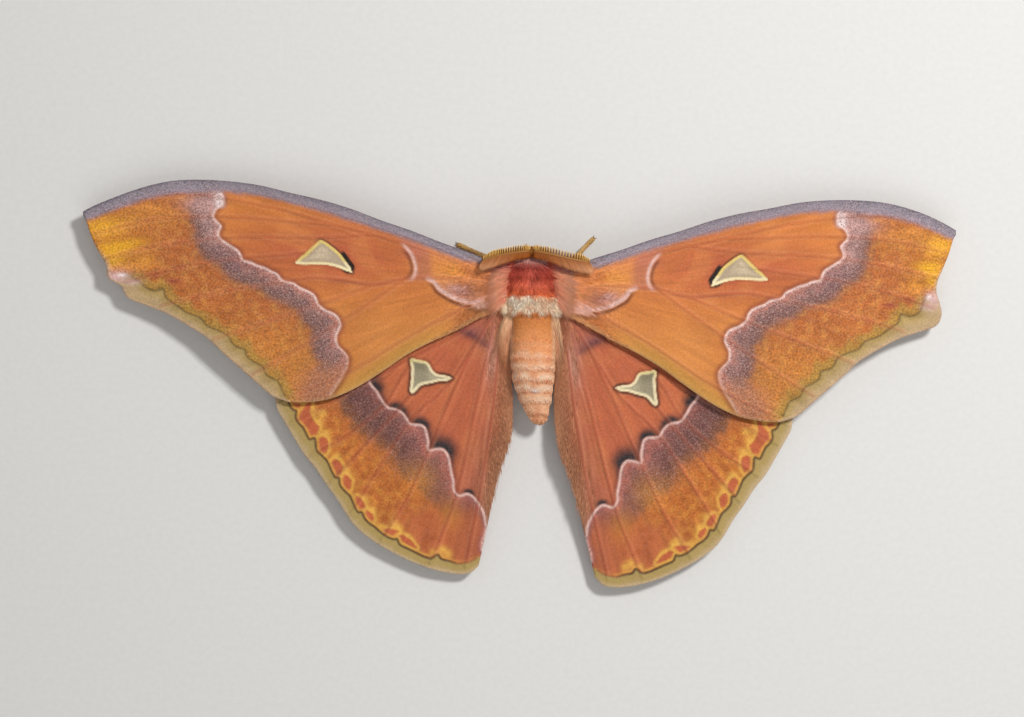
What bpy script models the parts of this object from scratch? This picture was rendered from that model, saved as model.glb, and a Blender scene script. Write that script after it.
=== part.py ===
import bpy
import bmesh
import math
from mathutils import Vector
from mathutils.bvhtree import BVHTree
from mathutils.geometry import delaunay_2d_cdt

# Lengths below are in millimetres, MM brings them to metres
MM = 0.001

# Gap between neighbouring parts, membrane thickness and vein size
GAP = 0.3
MEMBRANE = 0.55
ROOT_SWELL = 0.3
VEIN_HEIGHT = 0.34
VEIN_HALF_WIDTH = 0.62
VEIN_STEP = 6.5
OUTLINE_STEP = 3.2
GRID_STEP = 6.5

# Wing heights over the floor at the hinge and at the margin
FORE_HINGE = (6.0, 1.0)
FORE_ROOT_Z = 10.0
FORE_EDGE_Z = 4.6
FORE_REACH = 86.0
HIND_HINGE = (5.0, -4.0)
HIND_ROOT_Z = 8.5
HIND_EDGE_Z = 3.1
HIND_REACH = 64.0
DROOP_POWER = 1.3

# The hindwing folds down beside the abdomen: depth, distance from the middle line and half width of the
# fold, then where it starts and ends along the body, each with the length over which it grows or fades
HIND_FOLD = 2.6
FOLD_X = 4.2
FOLD_HALF_WIDTH = 2.3
FOLD_START = (-7.0, 3.0)
FOLD_END = (-24.0, 8.0)

# The left wings are turned a little about their own axis
LEFT_STRETCH = 1.0
LEFT_SLANT = -0.105
LEFT_RISE = 0.01
LEFT_DEPTH = 0.98
LEFT_SHIFT = (-0.4, 0.6)
TIP_FLARE = 4.4
TIP_START = (75.0, -2.5)
TIP_SPAN = (7.5, 5.0)

# Thorax and abdomen
BODY_SIDES = 22
THORAX_Z = 7.8
SEGMENT_COUNT = 7
SEGMENT_BULGE = 0.06
HEAD_Z = 7.3
HEAD_FLAT = 2.15
EYE_RADIUS = 1.15
EYE_Y = 7.65

# Legs and feelers
LEG_SIDES = 8
LEG_STEPS = 15
ROOT_STUB = 0.6
FOOT_RADIUS = 0.48
FOOT_Z = 0.3
RAMUS_COUNT = 13
RAMUS_RADIUS = 0.27


def clear_scene():
    for item in list(bpy.data.objects):
        bpy.data.objects.remove(item, do_unlink=True)


def paint(obj, name, colour, roughness):
    material = bpy.data.materials.new(name)
    material.use_nodes = True
    shader = material.node_tree.nodes["Principled BSDF"]
    shader.inputs["Base Color"].default_value = (*colour, 1.0)
    shader.inputs["Roughness"].default_value = roughness
    obj.data.materials.append(material)


def finish(name, mesh_builder, colour, roughness=0.7):
    bmesh.ops.recalc_face_normals(mesh_builder, faces=mesh_builder.faces)
    bmesh.ops.scale(mesh_builder, vec=(MM, MM, MM), verts=mesh_builder.verts)
    mesh = bpy.data.meshes.new(name)
    mesh_builder.to_mesh(mesh)
    mesh_builder.free()
    for polygon in mesh.polygons:
        polygon.use_smooth = True
    obj = bpy.data.objects.new(name, mesh)
    bpy.context.collection.objects.link(obj)
    paint(obj, name + "_surface", colour, roughness)
    return obj


def curve_point(points, t):
    count = len(points) - 1
    place = min(max(t, 0.0), 1.0) * count
    index = min(int(place), count - 1)
    f = place - index
    b = Vector(points[index])
    c = Vector(points[index + 1])
    a = Vector(points[index - 1]) if index > 0 else b * 2 - c
    d = Vector(points[index + 2]) if index + 2 <= count else c * 2 - b
    slope_in = (c - a) * 0.5
    slope_out = (d - b) * 0.5
    f2 = f * f
    f3 = f2 * f
    return b * (2 * f3 - 3 * f2 + 1) + slope_in * (f3 - 2 * f2 + f) + c * (3 * f2 - 2 * f3) + slope_out * (f3 - f2)


def spaced_curve(points, step):
    fine = [curve_point(points, i / 400.0) for i in range(401)]
    total = sum((fine[i + 1] - fine[i]).length for i in range(400))
    pieces = max(2, round(total / step))
    result = [fine[0]]
    run = 0.0
    for i in range(400):
        run += (fine[i + 1] - fine[i]).length
        if run >= total * len(result) / pieces and len(result) < pieces:
            result.append(fine[i + 1])
    result.append(fine[-1])
    return result


def loft(rings):
    builder = bmesh.new()
    loops = [[builder.verts.new(point) for point in ring] for ring in rings]
    sides = len(loops[0])
    for lower, upper in zip(loops, loops[1:]):
        for i in range(sides):
            j = (i + 1) % sides
            builder.faces.new((lower[i], lower[j], upper[j], upper[i]))
    for loop in (loops[0], loops[-1]):
        middle = sum((v.co for v in loop), Vector((0, 0, 0))) / sides
        hub = builder.verts.new(middle)
        for i in range(sides):
            builder.faces.new((loop[i], loop[(i + 1) % sides], hub))
    return builder


def oval_ring(centre, along, half_width, up, down, sides, power=2.2):
    forward = Vector(along).normalized()
    side = forward.cross(Vector((0, 0, 1))).normalized()
    top = side.cross(forward)
    ring = []
    for i in range(sides):
        angle = math.tau * i / sides
        c = math.copysign(abs(math.cos(angle)) ** (2 / power), math.cos(angle))
        s = math.copysign(abs(math.sin(angle)) ** (2 / power), math.sin(angle))
        reach = up if s > 0 else down
        ring.append(Vector(centre) + side * (half_width * c) + top * (reach * s))
    return ring


def tube_rings(path, radii, sides):
    rings = []
    side = None
    for index, point in enumerate(path):
        before = path[max(index - 1, 0)]
        after = path[min(index + 1, len(path) - 1)]
        forward = (after - before).normalized()
        guide = Vector((0, 0, 1)) if side is None else side.cross(forward)
        if guide.length < 0.2 or abs(guide.dot(forward)) > 0.95:
            guide = Vector((0, 1, 0))
        side = forward.cross(guide).normalized()
        if index and side.dot(last) < 0:
            side = -side
        last = side
        top = side.cross(forward).normalized()
        radius = radii[index]
        ring = []
        for i in range(sides):
            angle = math.tau * i / sides
            ring.append(point + side * (radius * math.cos(angle)) + top * (radius * math.sin(angle)))
        rings.append(ring)
    return rings


# Body: the line of the body bends towards the right at the tail
def body_line(y):
    stations = [(-0.6, 10.0), (-0.55, 5.6), (-0.4, 1.0), (-0.25, -3.0), (0.2, -8.0), (0.45, -14.0),
                (0.8, -19.0), (1.4, -23.0), (2.5, -28.0)]
    for (x0, y0), (x1, y1) in zip(stations, stations[1:]):
        if y >= y1:
            share = (y0 - y) / (y0 - y1)
            return x0 + (x1 - x0) * share
    return stations[-1][0]


def make_thorax():
    stations = [(6.2, 3.1, 3.1, 3.2), (5.2, 4.3, 4.0, 4.2), (3.4, 5.5, 4.9, 5.0), (1.2, 6.0, 5.3, 5.3),
                (-1.2, 6.1, 5.4, 5.3), (-3.4, 5.8, 5.1, 5.1), (-5.2, 5.2, 4.6, 4.7), (-6.6, 4.4, 4.0, 4.2)]
    rings = []
    for i in range(14):
        y, wide, up, down = curve_point(stations, i / 13.0)
        ring = oval_ring((body_line(y), y, THORAX_Z), (0, 1, 0), wide, up, down, BODY_SIDES)
        rings.append([shoulder(point, y) for point in ring])
    return finish("thorax", loft(rings), (0.36, 0.1, 0.05), 0.9)


def shoulder(point, y):
    centre = body_line(y)
    side = abs(point.x - centre)
    rise = point.z - THORAX_Z
    swell = math.exp(-((side - 4.6) / 1.5) ** 2 - ((rise - 3.4) / 1.8) ** 2 - ((y - 2.6) / 2.0) ** 2)
    outward = Vector((point.x - centre, 0, rise)).normalized()
    return point + outward * (0.7 * swell)


def make_abdomen():
    stations = [(-6.9, 4.3, 4.0, 4.2, 7.6), (-9.5, 4.7, 4.4, 4.4, 7.4), (-13.5, 4.7, 4.4, 4.3, 7.1),
                (-18.0, 4.3, 4.0, 3.9, 6.6), (-22.0, 3.5, 3.2, 3.1, 6.0), (-25.0, 2.6, 2.4, 2.2, 5.5),
                (-27.4, 1.2, 1.1, 1.1, 5.1)]
    rings = []
    for segment in range(SEGMENT_COUNT):
        for share in (0.0, 0.3, 0.7, 0.93):
            t = (segment + share) / SEGMENT_COUNT
            y, wide, up, down, z = abdomen_station(stations, t)
            swell = 1.0 - SEGMENT_BULGE * 0.5 + SEGMENT_BULGE * math.sin(math.pi * share ** 1.4) ** 0.7
            x = body_line(y)
            bend = min(1.0, (stations[0][0] - y) / 3.0)
            ahead = Vector(((body_line(y + 1.0) - body_line(y - 1.0)) * bend, 2.0, 0.25 * bend))
            rings.append(oval_ring((x, y, z), ahead, wide * swell, up * swell, down * swell, BODY_SIDES, 2.1))
    y, wide, up, down, z = abdomen_station(stations, 1.0)
    rings.append(oval_ring((body_line(y), y, z), (-0.2, 1, 0.1), wide, up, down, BODY_SIDES))
    return finish("abdomen", loft(rings), (0.7, 0.3, 0.13), 0.85)


def abdomen_station(stations, t):
    place = t * (len(stations) - 1)
    index = min(int(place), len(stations) - 2)
    share = place - index
    near = stations[index]
    far = stations[index + 1]
    return [a + (b - a) * share for a, b in zip(near, far)]


def make_head():
    stations = [(6.5, 2.7, 2.4, 2.4), (7.1, 2.95, 2.6, 2.7), (7.8, 2.65, 2.25, 2.45), (8.35, 1.85, 1.6, 1.8),
                (8.8, 0.8, 0.7, 0.8)]
    rings = []
    for i in range(9):
        y, wide, up, down = curve_point(stations, i / 8.0)
        ring = oval_ring((body_line(y), y, HEAD_Z), (0, 1, 0), wide, up, down, 18, 2.4)
        for point in ring:
            offset = point.x - body_line(8.0)
            point.x = body_line(8.0) + math.copysign(min(abs(offset), HEAD_FLAT), offset)
        rings.append(ring)
    return finish("head", loft(rings), (0.3, 0.09, 0.05), 0.9)


def make_eye(side, label):
    builder = bmesh.new()
    bmesh.ops.create_uvsphere(builder, u_segments=16, v_segments=9, radius=EYE_RADIUS)
    flat = HEAD_FLAT + GAP
    for vert in builder.verts:
        reach = max(vert.co.x * side + flat + 0.25, flat)
        vert.co = Vector((body_line(8.0) + side * reach, EYE_Y + vert.co.y, HEAD_Z - 0.1 + vert.co.z))
    bmesh.ops.remove_doubles(builder, verts=builder.verts, dist=0.02)
    return finish("eye_" + label, builder, (0.03, 0.02, 0.015), 0.2)


# Legs
def start_on(body, outside, inside):
    tree = BVHTree.FromObject(body, bpy.context.evaluated_depsgraph_get())
    origin = Vector(outside) * MM
    heading = (Vector(inside) * MM - origin).normalized()
    hit, normal, face, distance = tree.ray_cast(origin, heading)
    if normal.dot(heading) > 0:
        normal = -normal
    return hit / MM, normal


def make_leg(body, name, root, joints, radii):
    hit, normal = start_on(body, root[0], root[1])
    stations = [hit + normal * (GAP + ROOT_STUB)] + [Vector(p) for p in joints]
    path = [hit + normal * GAP]
    sizes = [radii[0]]
    for i in range(LEG_STEPS + 1):
        t = i / LEG_STEPS
        path.append(curve_point(stations, t))
        place = t * (len(radii) - 1)
        index = min(int(place), len(radii) - 2)
        sizes.append(radii[index] + (radii[index + 1] - radii[index]) * (place - index))
    rings = tube_rings(path, sizes, LEG_SIDES)
    for ring in rings:
        for point in ring:
            point.z = max(point.z, 0.0)
    return finish(name, loft(rings), (0.4, 0.24, 0.1), 0.7)


def make_legs(thorax):
    feet = {"left": (-15.5, 8.9), "right": (11.9, 11.0)}
    for side, label in ((-1, "left"), (1, "right")):
        foot_x, foot_y = feet[label]
        knee_x = side * 8.0 - 0.4
        lean = Vector((foot_x - knee_x, foot_y - 5.6))
        joints = [(side * 5.4 - 0.4, 5.4, 4.0), (knee_x, 5.8, 5.2),
                  (knee_x + lean.x * 0.4, 5.6 + lean.y * 0.45, 2.6),
                  (knee_x + lean.x * 0.68, 5.6 + lean.y * 0.72, FOOT_Z),
                  (foot_x, foot_y, FOOT_Z)]
        radii = (0.8, 0.95, 1.1, 0.8, 0.6, FOOT_RADIUS, FOOT_RADIUS)
        make_leg(thorax, "leg_fore_" + label, ((side * 6.0 - 0.4, 5.6, 1.0), (-0.4, 3.2, 7.8)), joints, radii)
        joints = [(side * 7.6 - 0.4, 0.4, 4.8), (side * 10.5, 0.2, 5.4), (side * 14.4, -0.8, 2.8),
                  (side * 17.2, -1.8, FOOT_Z), (side * 20.2, -2.6, FOOT_Z)]
        make_leg(thorax, "leg_mid_" + label, ((side * 9.0 - 0.4, 0.2, 1.0), (-0.4, 0, 8.5)), joints, radii)
        joints = [(side * 6.4, -6.6, 4.4), (side * 8.6, -9.4, 4.6), (side * 10.6, -14.0, 2.4),
                  (side * 11.6, -17.4, FOOT_Z), (side * 12.6, -21.0, FOOT_Z)]
        make_leg(thorax, "leg_hind_" + label, ((side * 7.5, -5.8, 1.0), (0, -1.5, 8.5)), joints, radii)


# Feelers with two rows of side branches
def branch(path_point, heading, length, radius):
    middle = path_point + heading * (length * 0.55) + Vector((0, 0, -0.03 * length))
    end = path_point + heading * length + Vector((0, 0, -0.12 * length))
    builder = loft(tube_rings([path_point - heading * 0.15, middle, end], [radius, radius, radius * 0.9], 5))
    return builder


def add_piece(collection, builder):
    bmesh.ops.recalc_face_normals(builder, faces=builder.faces)
    mesh = bpy.data.meshes.new("piece")
    builder.to_mesh(mesh)
    builder.free()
    obj = bpy.data.objects.new("piece", mesh)
    collection.objects.link(obj)


def make_antenna(head, side, label, stations):
    hit, normal = start_on(head, (body_line(8.0) + side * 1.2, 7.6, 14.0), (body_line(8.0) + side * 1.2, 7.6, 0.0))
    line = [hit + normal * (GAP + ROOT_STUB)] + [Vector(p) for p in stations]
    path = [hit + normal * GAP] + [curve_point(line, i / 14.0) for i in range(15)]
    sizes = [0.5 - 0.18 * (i / 15.0) for i in range(16)]
    pieces = bpy.data.collections.new("pieces_" + label)
    bpy.context.scene.collection.children.link(pieces)
    for i in range(RAMUS_COUNT):
        t = (i + 0.5) / RAMUS_COUNT
        place = 0.2 + 0.78 * t
        point = curve_point(line, place)
        forward = (curve_point(line, place + 0.01) - curve_point(line, place - 0.01)).normalized()
        leaf = math.sin(math.pi * min(1.0, 0.1 + t * 0.9) ** 0.85) ** 0.7
        back = (Vector((-side * 0.1, -1.0, -0.05)) + forward * 0.45).normalized()
        front = (Vector((side * 0.15, 1.0, 0.75)) + forward * 0.45).normalized()
        add_piece(pieces, branch(point, back, 0.4 + 3.6 * leaf, RAMUS_RADIUS))
        add_piece(pieces, branch(point, front, 0.7 + 1.3 * leaf, RAMUS_RADIUS))
    base_builder = loft(tube_rings(path, sizes, 8))
    bmesh.ops.recalc_face_normals(base_builder, faces=base_builder.faces)
    mesh = bpy.data.meshes.new("antenna_" + label)
    base_builder.to_mesh(mesh)
    base_builder.free()
    obj = bpy.data.objects.new("antenna_" + label, mesh)
    bpy.context.collection.objects.link(obj)
    union = obj.modifiers.new("join", "BOOLEAN")
    union.operation = "UNION"
    union.operand_type = "COLLECTION"
    union.collection = pieces
    union.solver = "MANIFOLD"
    joined = bpy.data.meshes.new_from_object(obj.evaluated_get(bpy.context.evaluated_depsgraph_get()))
    for piece in list(pieces.objects):
        bpy.data.objects.remove(piece, do_unlink=True)
    bpy.data.objects.remove(obj, do_unlink=True)
    bpy.data.collections.remove(pieces)
    builder = bmesh.new()
    builder.from_mesh(joined)
    bmesh.ops.remove_doubles(builder, verts=builder.verts, dist=0.002)
    keep_largest(builder)
    return finish("antenna_" + label, builder, (0.33, 0.15, 0.04), 0.6)


def keep_largest(builder):
    left = set(builder.verts)
    groups = []
    while left:
        seed = left.pop()
        group = {seed}
        front = [seed]
        while front:
            vert = front.pop()
            for edge in vert.link_edges:
                other = edge.other_vert(vert)
                if other in left:
                    left.remove(other)
                    group.add(other)
                    front.append(other)
        groups.append(group)
    groups.sort(key=len, reverse=True)
    stray = [vert for group in groups[1:] for vert in group]
    bmesh.ops.delete(builder, geom=stray, context="VERTS")


# Wings
def fore_height(x, y):
    reach = math.hypot(x - FORE_HINGE[0], y - FORE_HINGE[1])
    fall = max(0.0, 1.0 - reach / FORE_REACH) ** DROOP_POWER
    wave = 0.35 * math.sin(reach * 0.16 + y * 0.12) * min(1.0, reach / 30.0)
    return FORE_EDGE_Z + (FORE_ROOT_Z - FORE_EDGE_Z) * fall + wave


def hind_height(x, y):
    reach = math.hypot(x - HIND_HINGE[0], y - HIND_HINGE[1])
    fall = max(0.0, 1.0 - reach / HIND_REACH) ** DROOP_POWER
    wave = 0.3 * math.sin(reach * 0.2 + x * 0.1) * max(0.0, reach / 30.0 - 0.6)
    start = ease((FOLD_START[0] - y) / FOLD_START[1])
    end = 1.0 - ease((FOLD_END[0] - y) / FOLD_END[1])
    fold = HIND_FOLD * math.exp(-((x - FOLD_X) / FOLD_HALF_WIDTH) ** 2) * start * end
    return HIND_EDGE_Z + (HIND_ROOT_Z - HIND_EDGE_Z) * fall + wave - fold


def ease(share):
    share = min(max(share, 0.0), 1.0)
    return share * share * (3.0 - 2.0 * share)


def pose(point, side):
    x, y = point
    if side > 0:
        return Vector((x, y))
    flare = TIP_FLARE * ease((x - TIP_START[0]) / TIP_SPAN[0]) * ease((y - TIP_START[1]) / TIP_SPAN[1])
    across = -x * LEFT_STRETCH + y * LEFT_SLANT + LEFT_SHIFT[0] - flare
    return Vector((across, y * LEFT_DEPTH - x * LEFT_RISE + LEFT_SHIFT[1] - 0.4 * flare))


def segment_distance(point, start, end):
    line = end - start
    share = max(0.0, min(1.0, (point - start).dot(line) / max(line.length_squared, 1e-9)))
    return (point - start - line * share).length, share


def vein_rise(point, veins):
    best = 0.0
    for vein in veins:
        count = len(vein) - 1
        for i in range(count):
            distance, share = segment_distance(point, vein[i], vein[i + 1])
            along = (i + share) / count
            half = VEIN_HALF_WIDTH * (1.0 - 0.35 * along)
            taper = min(1.0, (1.0 - along) * 8.0)
            best = max(best, VEIN_HEIGHT * (1.0 - 0.3 * along) * taper * max(0.0, 1.0 - distance / half))
    return best


def inside(point, outline):
    result = False
    previous = outline[-1]
    for current in outline:
        if (current.y > point.y) != (previous.y > point.y):
            cross = (previous.x - current.x) * (point.y - current.y) / (previous.y - current.y) + current.x
            if point.x < cross:
                result = not result
        previous = current
    return result


def vein_lines(veins):
    lines = []
    for vein in veins:
        left = []
        right = []
        count = len(vein) - 1
        for i in range(1, count):
            forward = (vein[i + 1] - vein[i - 1]).normalized()
            across = Vector((-forward.y, forward.x)) * VEIN_HALF_WIDTH * (1.0 - 0.35 * i / count)
            left.append(vein[i] + across)
            right.append(vein[i] - across)
        lines.append(vein)
        lines.append([vein[0]] + left + [vein[-1]])
        lines.append([vein[0]] + right + [vein[-1]])
    return lines


def make_wing(name, outline, veins, height, hinge, colour):
    points = list(outline)
    edges = [(i, (i + 1) % len(outline)) for i in range(len(outline))]
    for line in vein_lines(veins):
        first = len(points)
        kept = [p for p in line if inside(p, outline)]
        points.extend(kept)
        edges.extend((first + i, first + i + 1) for i in range(len(kept) - 1))
    low_x = min(p.x for p in outline)
    high_x = max(p.x for p in outline)
    low_y = min(p.y for p in outline)
    high_y = max(p.y for p in outline)
    lines = vein_lines(veins) + [list(outline) + [outline[0]]]
    fixed = list(points)
    row = 0
    y = low_y + GRID_STEP * 0.5
    while y < high_y:
        x = low_x + (GRID_STEP * 0.5 if row % 2 else 0.0)
        while x < high_x:
            spot = Vector((x, y))
            if inside(spot, outline) and min((spot - p).length for p in fixed) > GRID_STEP * 0.42:
                nearest = min(segment_distance(spot, a, b)[0] for line in lines for a, b in zip(line, line[1:]))
                if nearest > GRID_STEP * 0.2:
                    points.append(spot)
            x += GRID_STEP
        y += GRID_STEP * 0.86
        row += 1
    verts, cut_edges, faces, *_ = delaunay_2d_cdt(points, edges, [], 0, 0.02)
    kept_faces = []
    for face in faces:
        centre = sum((verts[i] for i in face), Vector((0, 0))) / len(face)
        if inside(centre, outline):
            kept_faces.append(face)
    builder = bmesh.new()
    top = {}
    bottom = {}
    for index in sorted({i for face in kept_faces for i in face}):
        spot = verts[index]
        base = height(abs(spot.x), spot.y)
        root = math.exp(-math.hypot(abs(spot.x) - hinge[0], spot.y - hinge[1]) / 5.0)
        half = (MEMBRANE + ROOT_SWELL * root) * 0.5
        top[index] = builder.verts.new((spot.x, spot.y, base + half + vein_rise(spot, veins)))
        bottom[index] = builder.verts.new((spot.x, spot.y, base - half))
    seen = {}
    for face in kept_faces:
        builder.faces.new([top[i] for i in face])
        builder.faces.new([bottom[i] for i in reversed(face)])
        for a, b in zip(face, face[1:] + face[:1]):
            seen[(a, b)] = True
    for a, b in list(seen):
        if (b, a) not in seen:
            builder.faces.new((top[b], top[a], bottom[a], bottom[b]))
    return finish(name, builder, colour, 0.75)


def trim_vein(points, side, outline):
    line = spaced_curve([tuple(pose(p, side)) + (0.0,) for p in points], VEIN_STEP)
    return [Vector((p.x, p.y)) for p in line if inside(Vector((p.x, p.y)), outline)]


def wing_outline(edge_runs, root_points, side, body, z):
    outline = []
    for run in edge_runs:
        line = spaced_curve([tuple(pose(p, side)) + (0.0,) for p in run], OUTLINE_STEP)
        outline.extend(Vector((p.x, p.y)) for p in line[:-1])
    last = pose(edge_runs[-1][-1], side)
    outline.append(last)
    tree = BVHTree.FromObject(body, bpy.context.evaluated_depsgraph_get())
    for y in root_points:
        start = Vector((side * 20.0, y, z - MEMBRANE)) * MM
        hit, normal, face, distance = tree.ray_cast(start, Vector((-side, 0, 0)))
        lean = abs(normal.x)
        outline.append(Vector((hit.x / MM + side * (GAP + 0.05) / max(lean, 0.6), y)))
    return outline


def fore_edges():
    costa = [(6.9, 4.3), (11.2, 6.4), (17.1, 8.5), (23.0, 10.8), (29.0, 12.8), (34.9, 15.0), (40.8, 16.7),
             (46.8, 18.0), (52.8, 19.4), (58.7, 20.1), (64.7, 20.3), (70.7, 19.9), (76.8, 18.4), (80.9, 16.8),
             (83.9, 15.3), (84.9, 14.6)]
    outer = [(84.9, 14.6), (84.0, 13.3), (83.1, 10.1), (82.0, 7.0), (81.1, 4.6), (81.0, 2.4), (81.7, 0.4),
             (82.2, -2.0), (81.2, -4.3), (77.6, -5.7), (73.7, -7.2), (69.8, -9.4), (65.8, -12.0),
             (63.0, -14.8), (60.2, -17.4), (56.8, -20.6), (53.7, -23.4), (50.3, -24.7)]
    inner = [(50.3, -24.7), (46.3, -24.6), (42.3, -23.9), (38.2, -22.3), (34.1, -20.0), (30.0, -17.3),
             (25.9, -14.5), (20.8, -11.7), (15.7, -9.3), (11.2, -6.8), (7.0, -4.6)]
    return [costa, outer, inner]


def fore_veins():
    return [
        [(8.2, 3.4), (17.0, 7.2), (30.0, 11.7), (45.0, 16.0), (57.0, 18.6)],
        [(8.0, 2.4), (16.0, 5.4), (25.0, 8.3), (31.0, 9.9), (38.0, 11.6), (50.0, 14.8), (66.0, 17.4), (76.0, 16.6)],
        [(38.0, 11.6), (48.0, 12.2), (60.0, 12.9), (72.0, 12.4), (82.2, 10.6)],
        [(31.0, 9.9), (37.0, 9.3), (43.1, 8.9), (52.0, 8.9), (61.1, 8.5), (71.0, 7.3), (80.6, 5.4)],
        [(41.0, 6.4), (50.0, 5.2), (60.0, 4.2), (70.0, 2.4), (80.4, -0.6)],
        [(8.0, 0.6), (16.0, 1.4), (24.8, 1.1), (31.4, -0.3), (37.4, 0.5), (43.4, 0.9), (49.0, -0.1), (58.0, -1.6),
         (67.0, -3.6), (74.6, -5.6)],
        [(31.4, -0.3), (40.0, -3.6), (50.0, -7.2), (58.0, -10.0), (64.4, -12.2)],
        [(24.8, 1.1), (32.0, -3.8), (41.0, -9.6), (50.0, -15.2), (57.0, -19.2)],
        [(8.0, -1.6), (14.0, -4.8), (24.0, -10.0), (33.0, -15.6), (42.0, -20.4), (49.4, -23.4)]]


def hind_edges():
    costa = [(6.6, -2.0), (14.0, -5.2), (24.0, -9.4), (34.0, -14.0), (44.0, -18.8), (51.0, -21.8), (53.2, -23.4)]
    outer = [(53.2, -23.4), (52.9, -26.2), (51.4, -29.2), (49.8, -32.3), (48.1, -35.4), (46.0, -38.2),
             (44.1, -41.4), (42.0, -44.6), (40.1, -48.1), (38.2, -50.6), (35.0, -53.1), (31.2, -55.3),
             (27.4, -57.1), (23.5, -58.4), (19.5, -59.1), (16.5, -58.9), (14.6, -57.4)]
    inner = [(14.6, -57.4), (13.5, -53.6), (12.1, -48.6), (10.5, -42.7), (8.9, -36.9), (6.6, -30.8),
             (5.9, -27.6), (5.5, -24.0), (5.3, -20.8), (5.3, -15.8), (5.4, -10.8), (5.7, -7.6)]
    return [costa, outer, inner]


def hind_veins():
    return [
        [(8.0, -3.6), (16.0, -7.6), (28.0, -13.0), (40.0, -18.6), (49.0, -23.2), (52.2, -25.2)],
        [(8.0, -4.8), (15.0, -9.8), (24.0, -14.6), (34.0, -20.0), (43.0, -25.2), (50.4, -29.2)],
        [(24.0, -14.6), (27.4, -19.4), (30.9, -24.6), (38.0, -30.4), (46.6, -35.6)],
        [(25.6, -22.4), (29.0, -26.4), (34.5, -32.0), (43.2, -41.0)],
        [(8.0, -6.0), (12.0, -12.0), (18.2, -20.6), (25.4, -27.0), (32.0, -36.0), (39.6, -47.4)],
        [(12.0, -12.0), (17.6, -23.0), (22.8, -33.8), (28.0, -44.0), (33.8, -52.6)],
        [(8.0, -8.0), (12.8, -25.0), (17.9, -42.6), (21.4, -51.0), (24.2, -57.0)],
        [(7.4, -12.0), (9.4, -25.0), (12.6, -40.0), (15.2, -50.0), (17.2, -57.6)]]


def make_wings(thorax):
    for side, label in ((-1, "left"), (1, "right")):
        outline = wing_outline(fore_edges(), (-3.4, -1.6, 0.2, 2.0, 3.4), side, thorax, FORE_ROOT_Z)
        veins = [trim_vein(line, side, outline) for line in fore_veins()]
        make_wing("forewing_" + label, outline, veins, fore_height, FORE_HINGE, (0.62, 0.2, 0.05))
        outline = wing_outline(hind_edges(), (-5.4, -4.0, -2.8), side, thorax, HIND_ROOT_Z)
        veins = [trim_vein(line, side, outline) for line in hind_veins()]
        make_wing("hindwing_" + label, outline, veins, hind_height, HIND_HINGE, (0.5, 0.13, 0.05))


def centre_model():
    objects = list(bpy.context.scene.objects)
    corners = [vert.co for obj in objects for vert in obj.data.vertices]
    middle_x = (min(c.x for c in corners) + max(c.x for c in corners)) / 2
    middle_y = (min(c.y for c in corners) + max(c.y for c in corners)) / 2
    for obj in objects:
        for vert in obj.data.vertices:
            vert.co.x -= middle_x
            vert.co.y -= middle_y


clear_scene()
thorax = make_thorax()
make_abdomen()
head = make_head()
make_eye(-1, "left")
make_eye(1, "right")
make_legs(thorax)
make_antenna(head, 1, "right", [(2.2, 7.7, 12.4), (5.2, 7.1, 13.0), (8.6, 6.3, 12.7), (12.0, 5.0, 11.9)])
make_antenna(head, -1, "left", [(-3.0, 7.5, 12.4), (-5.8, 6.8, 13.0), (-8.8, 5.8, 12.7), (-11.4, 4.7, 11.9)])
make_wings(thorax)
centre_model()
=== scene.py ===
import bpy
import bmesh
import math
import numpy as np
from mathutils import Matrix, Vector, noise


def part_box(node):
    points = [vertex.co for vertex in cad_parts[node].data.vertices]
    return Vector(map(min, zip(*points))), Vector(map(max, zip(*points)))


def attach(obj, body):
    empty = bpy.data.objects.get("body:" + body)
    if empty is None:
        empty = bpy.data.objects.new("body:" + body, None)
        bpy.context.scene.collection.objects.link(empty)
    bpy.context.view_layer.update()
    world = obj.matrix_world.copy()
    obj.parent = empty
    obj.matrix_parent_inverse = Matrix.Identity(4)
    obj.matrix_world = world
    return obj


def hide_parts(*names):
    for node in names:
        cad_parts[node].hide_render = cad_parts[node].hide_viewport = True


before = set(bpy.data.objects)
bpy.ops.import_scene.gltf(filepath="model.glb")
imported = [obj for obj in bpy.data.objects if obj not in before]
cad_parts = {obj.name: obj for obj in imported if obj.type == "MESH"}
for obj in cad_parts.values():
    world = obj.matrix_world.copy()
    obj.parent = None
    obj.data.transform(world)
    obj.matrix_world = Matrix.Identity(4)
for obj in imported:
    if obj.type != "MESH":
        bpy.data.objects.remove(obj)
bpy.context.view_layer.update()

# Lengths are in millimetres, measured from the middle of the thorax, until shipPiece makes them metres
mm = 0.001
headTipY = 8.8
foreTipX = 84.9
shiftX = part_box("forewing_right")[1].x / mm - foreTipX
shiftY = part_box("head")[1].y / mm - headTipY


# small helpers

def smooth(value, low, high):
    share = np.clip((value - low) / (high - low), 0.0, 1.0)
    return share * share * (3.0 - 2.0 * share)


def hump(value, centre, reach):
    return np.exp(-((value - centre) / reach) ** 2)


def colour(code):
    parts = [int(code[i:i + 2], 16) / 255.0 for i in (1, 3, 5)]
    return np.array([((p + 0.055) / 1.055) ** 2.4 if p > 0.04045 else p / 12.92 for p in parts])


def brush(tint, code, amount):
    tint += (colour(code) - tint) * np.clip(amount, 0.0, 1.0)[:, None]


def dab(tint, x, y, dabs):
    for code, strength, middleX, reachX, middleY, reachY in dabs:
        brush(tint, code, strength * hump(x, middleX, reachX) * hump(y, middleY, reachY))


def shade(stops, value):
    places = [place for place, code in stops]
    codes = np.array([colour(code) for place, code in stops])
    return np.stack([np.interp(value, places, codes[:, i]) for i in range(3)], axis=1)


def mottle(x, y, size, seed):
    return np.array([noise.noise(Vector((a, b, seed))) for a, b in zip(x / size, y / size)])


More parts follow.
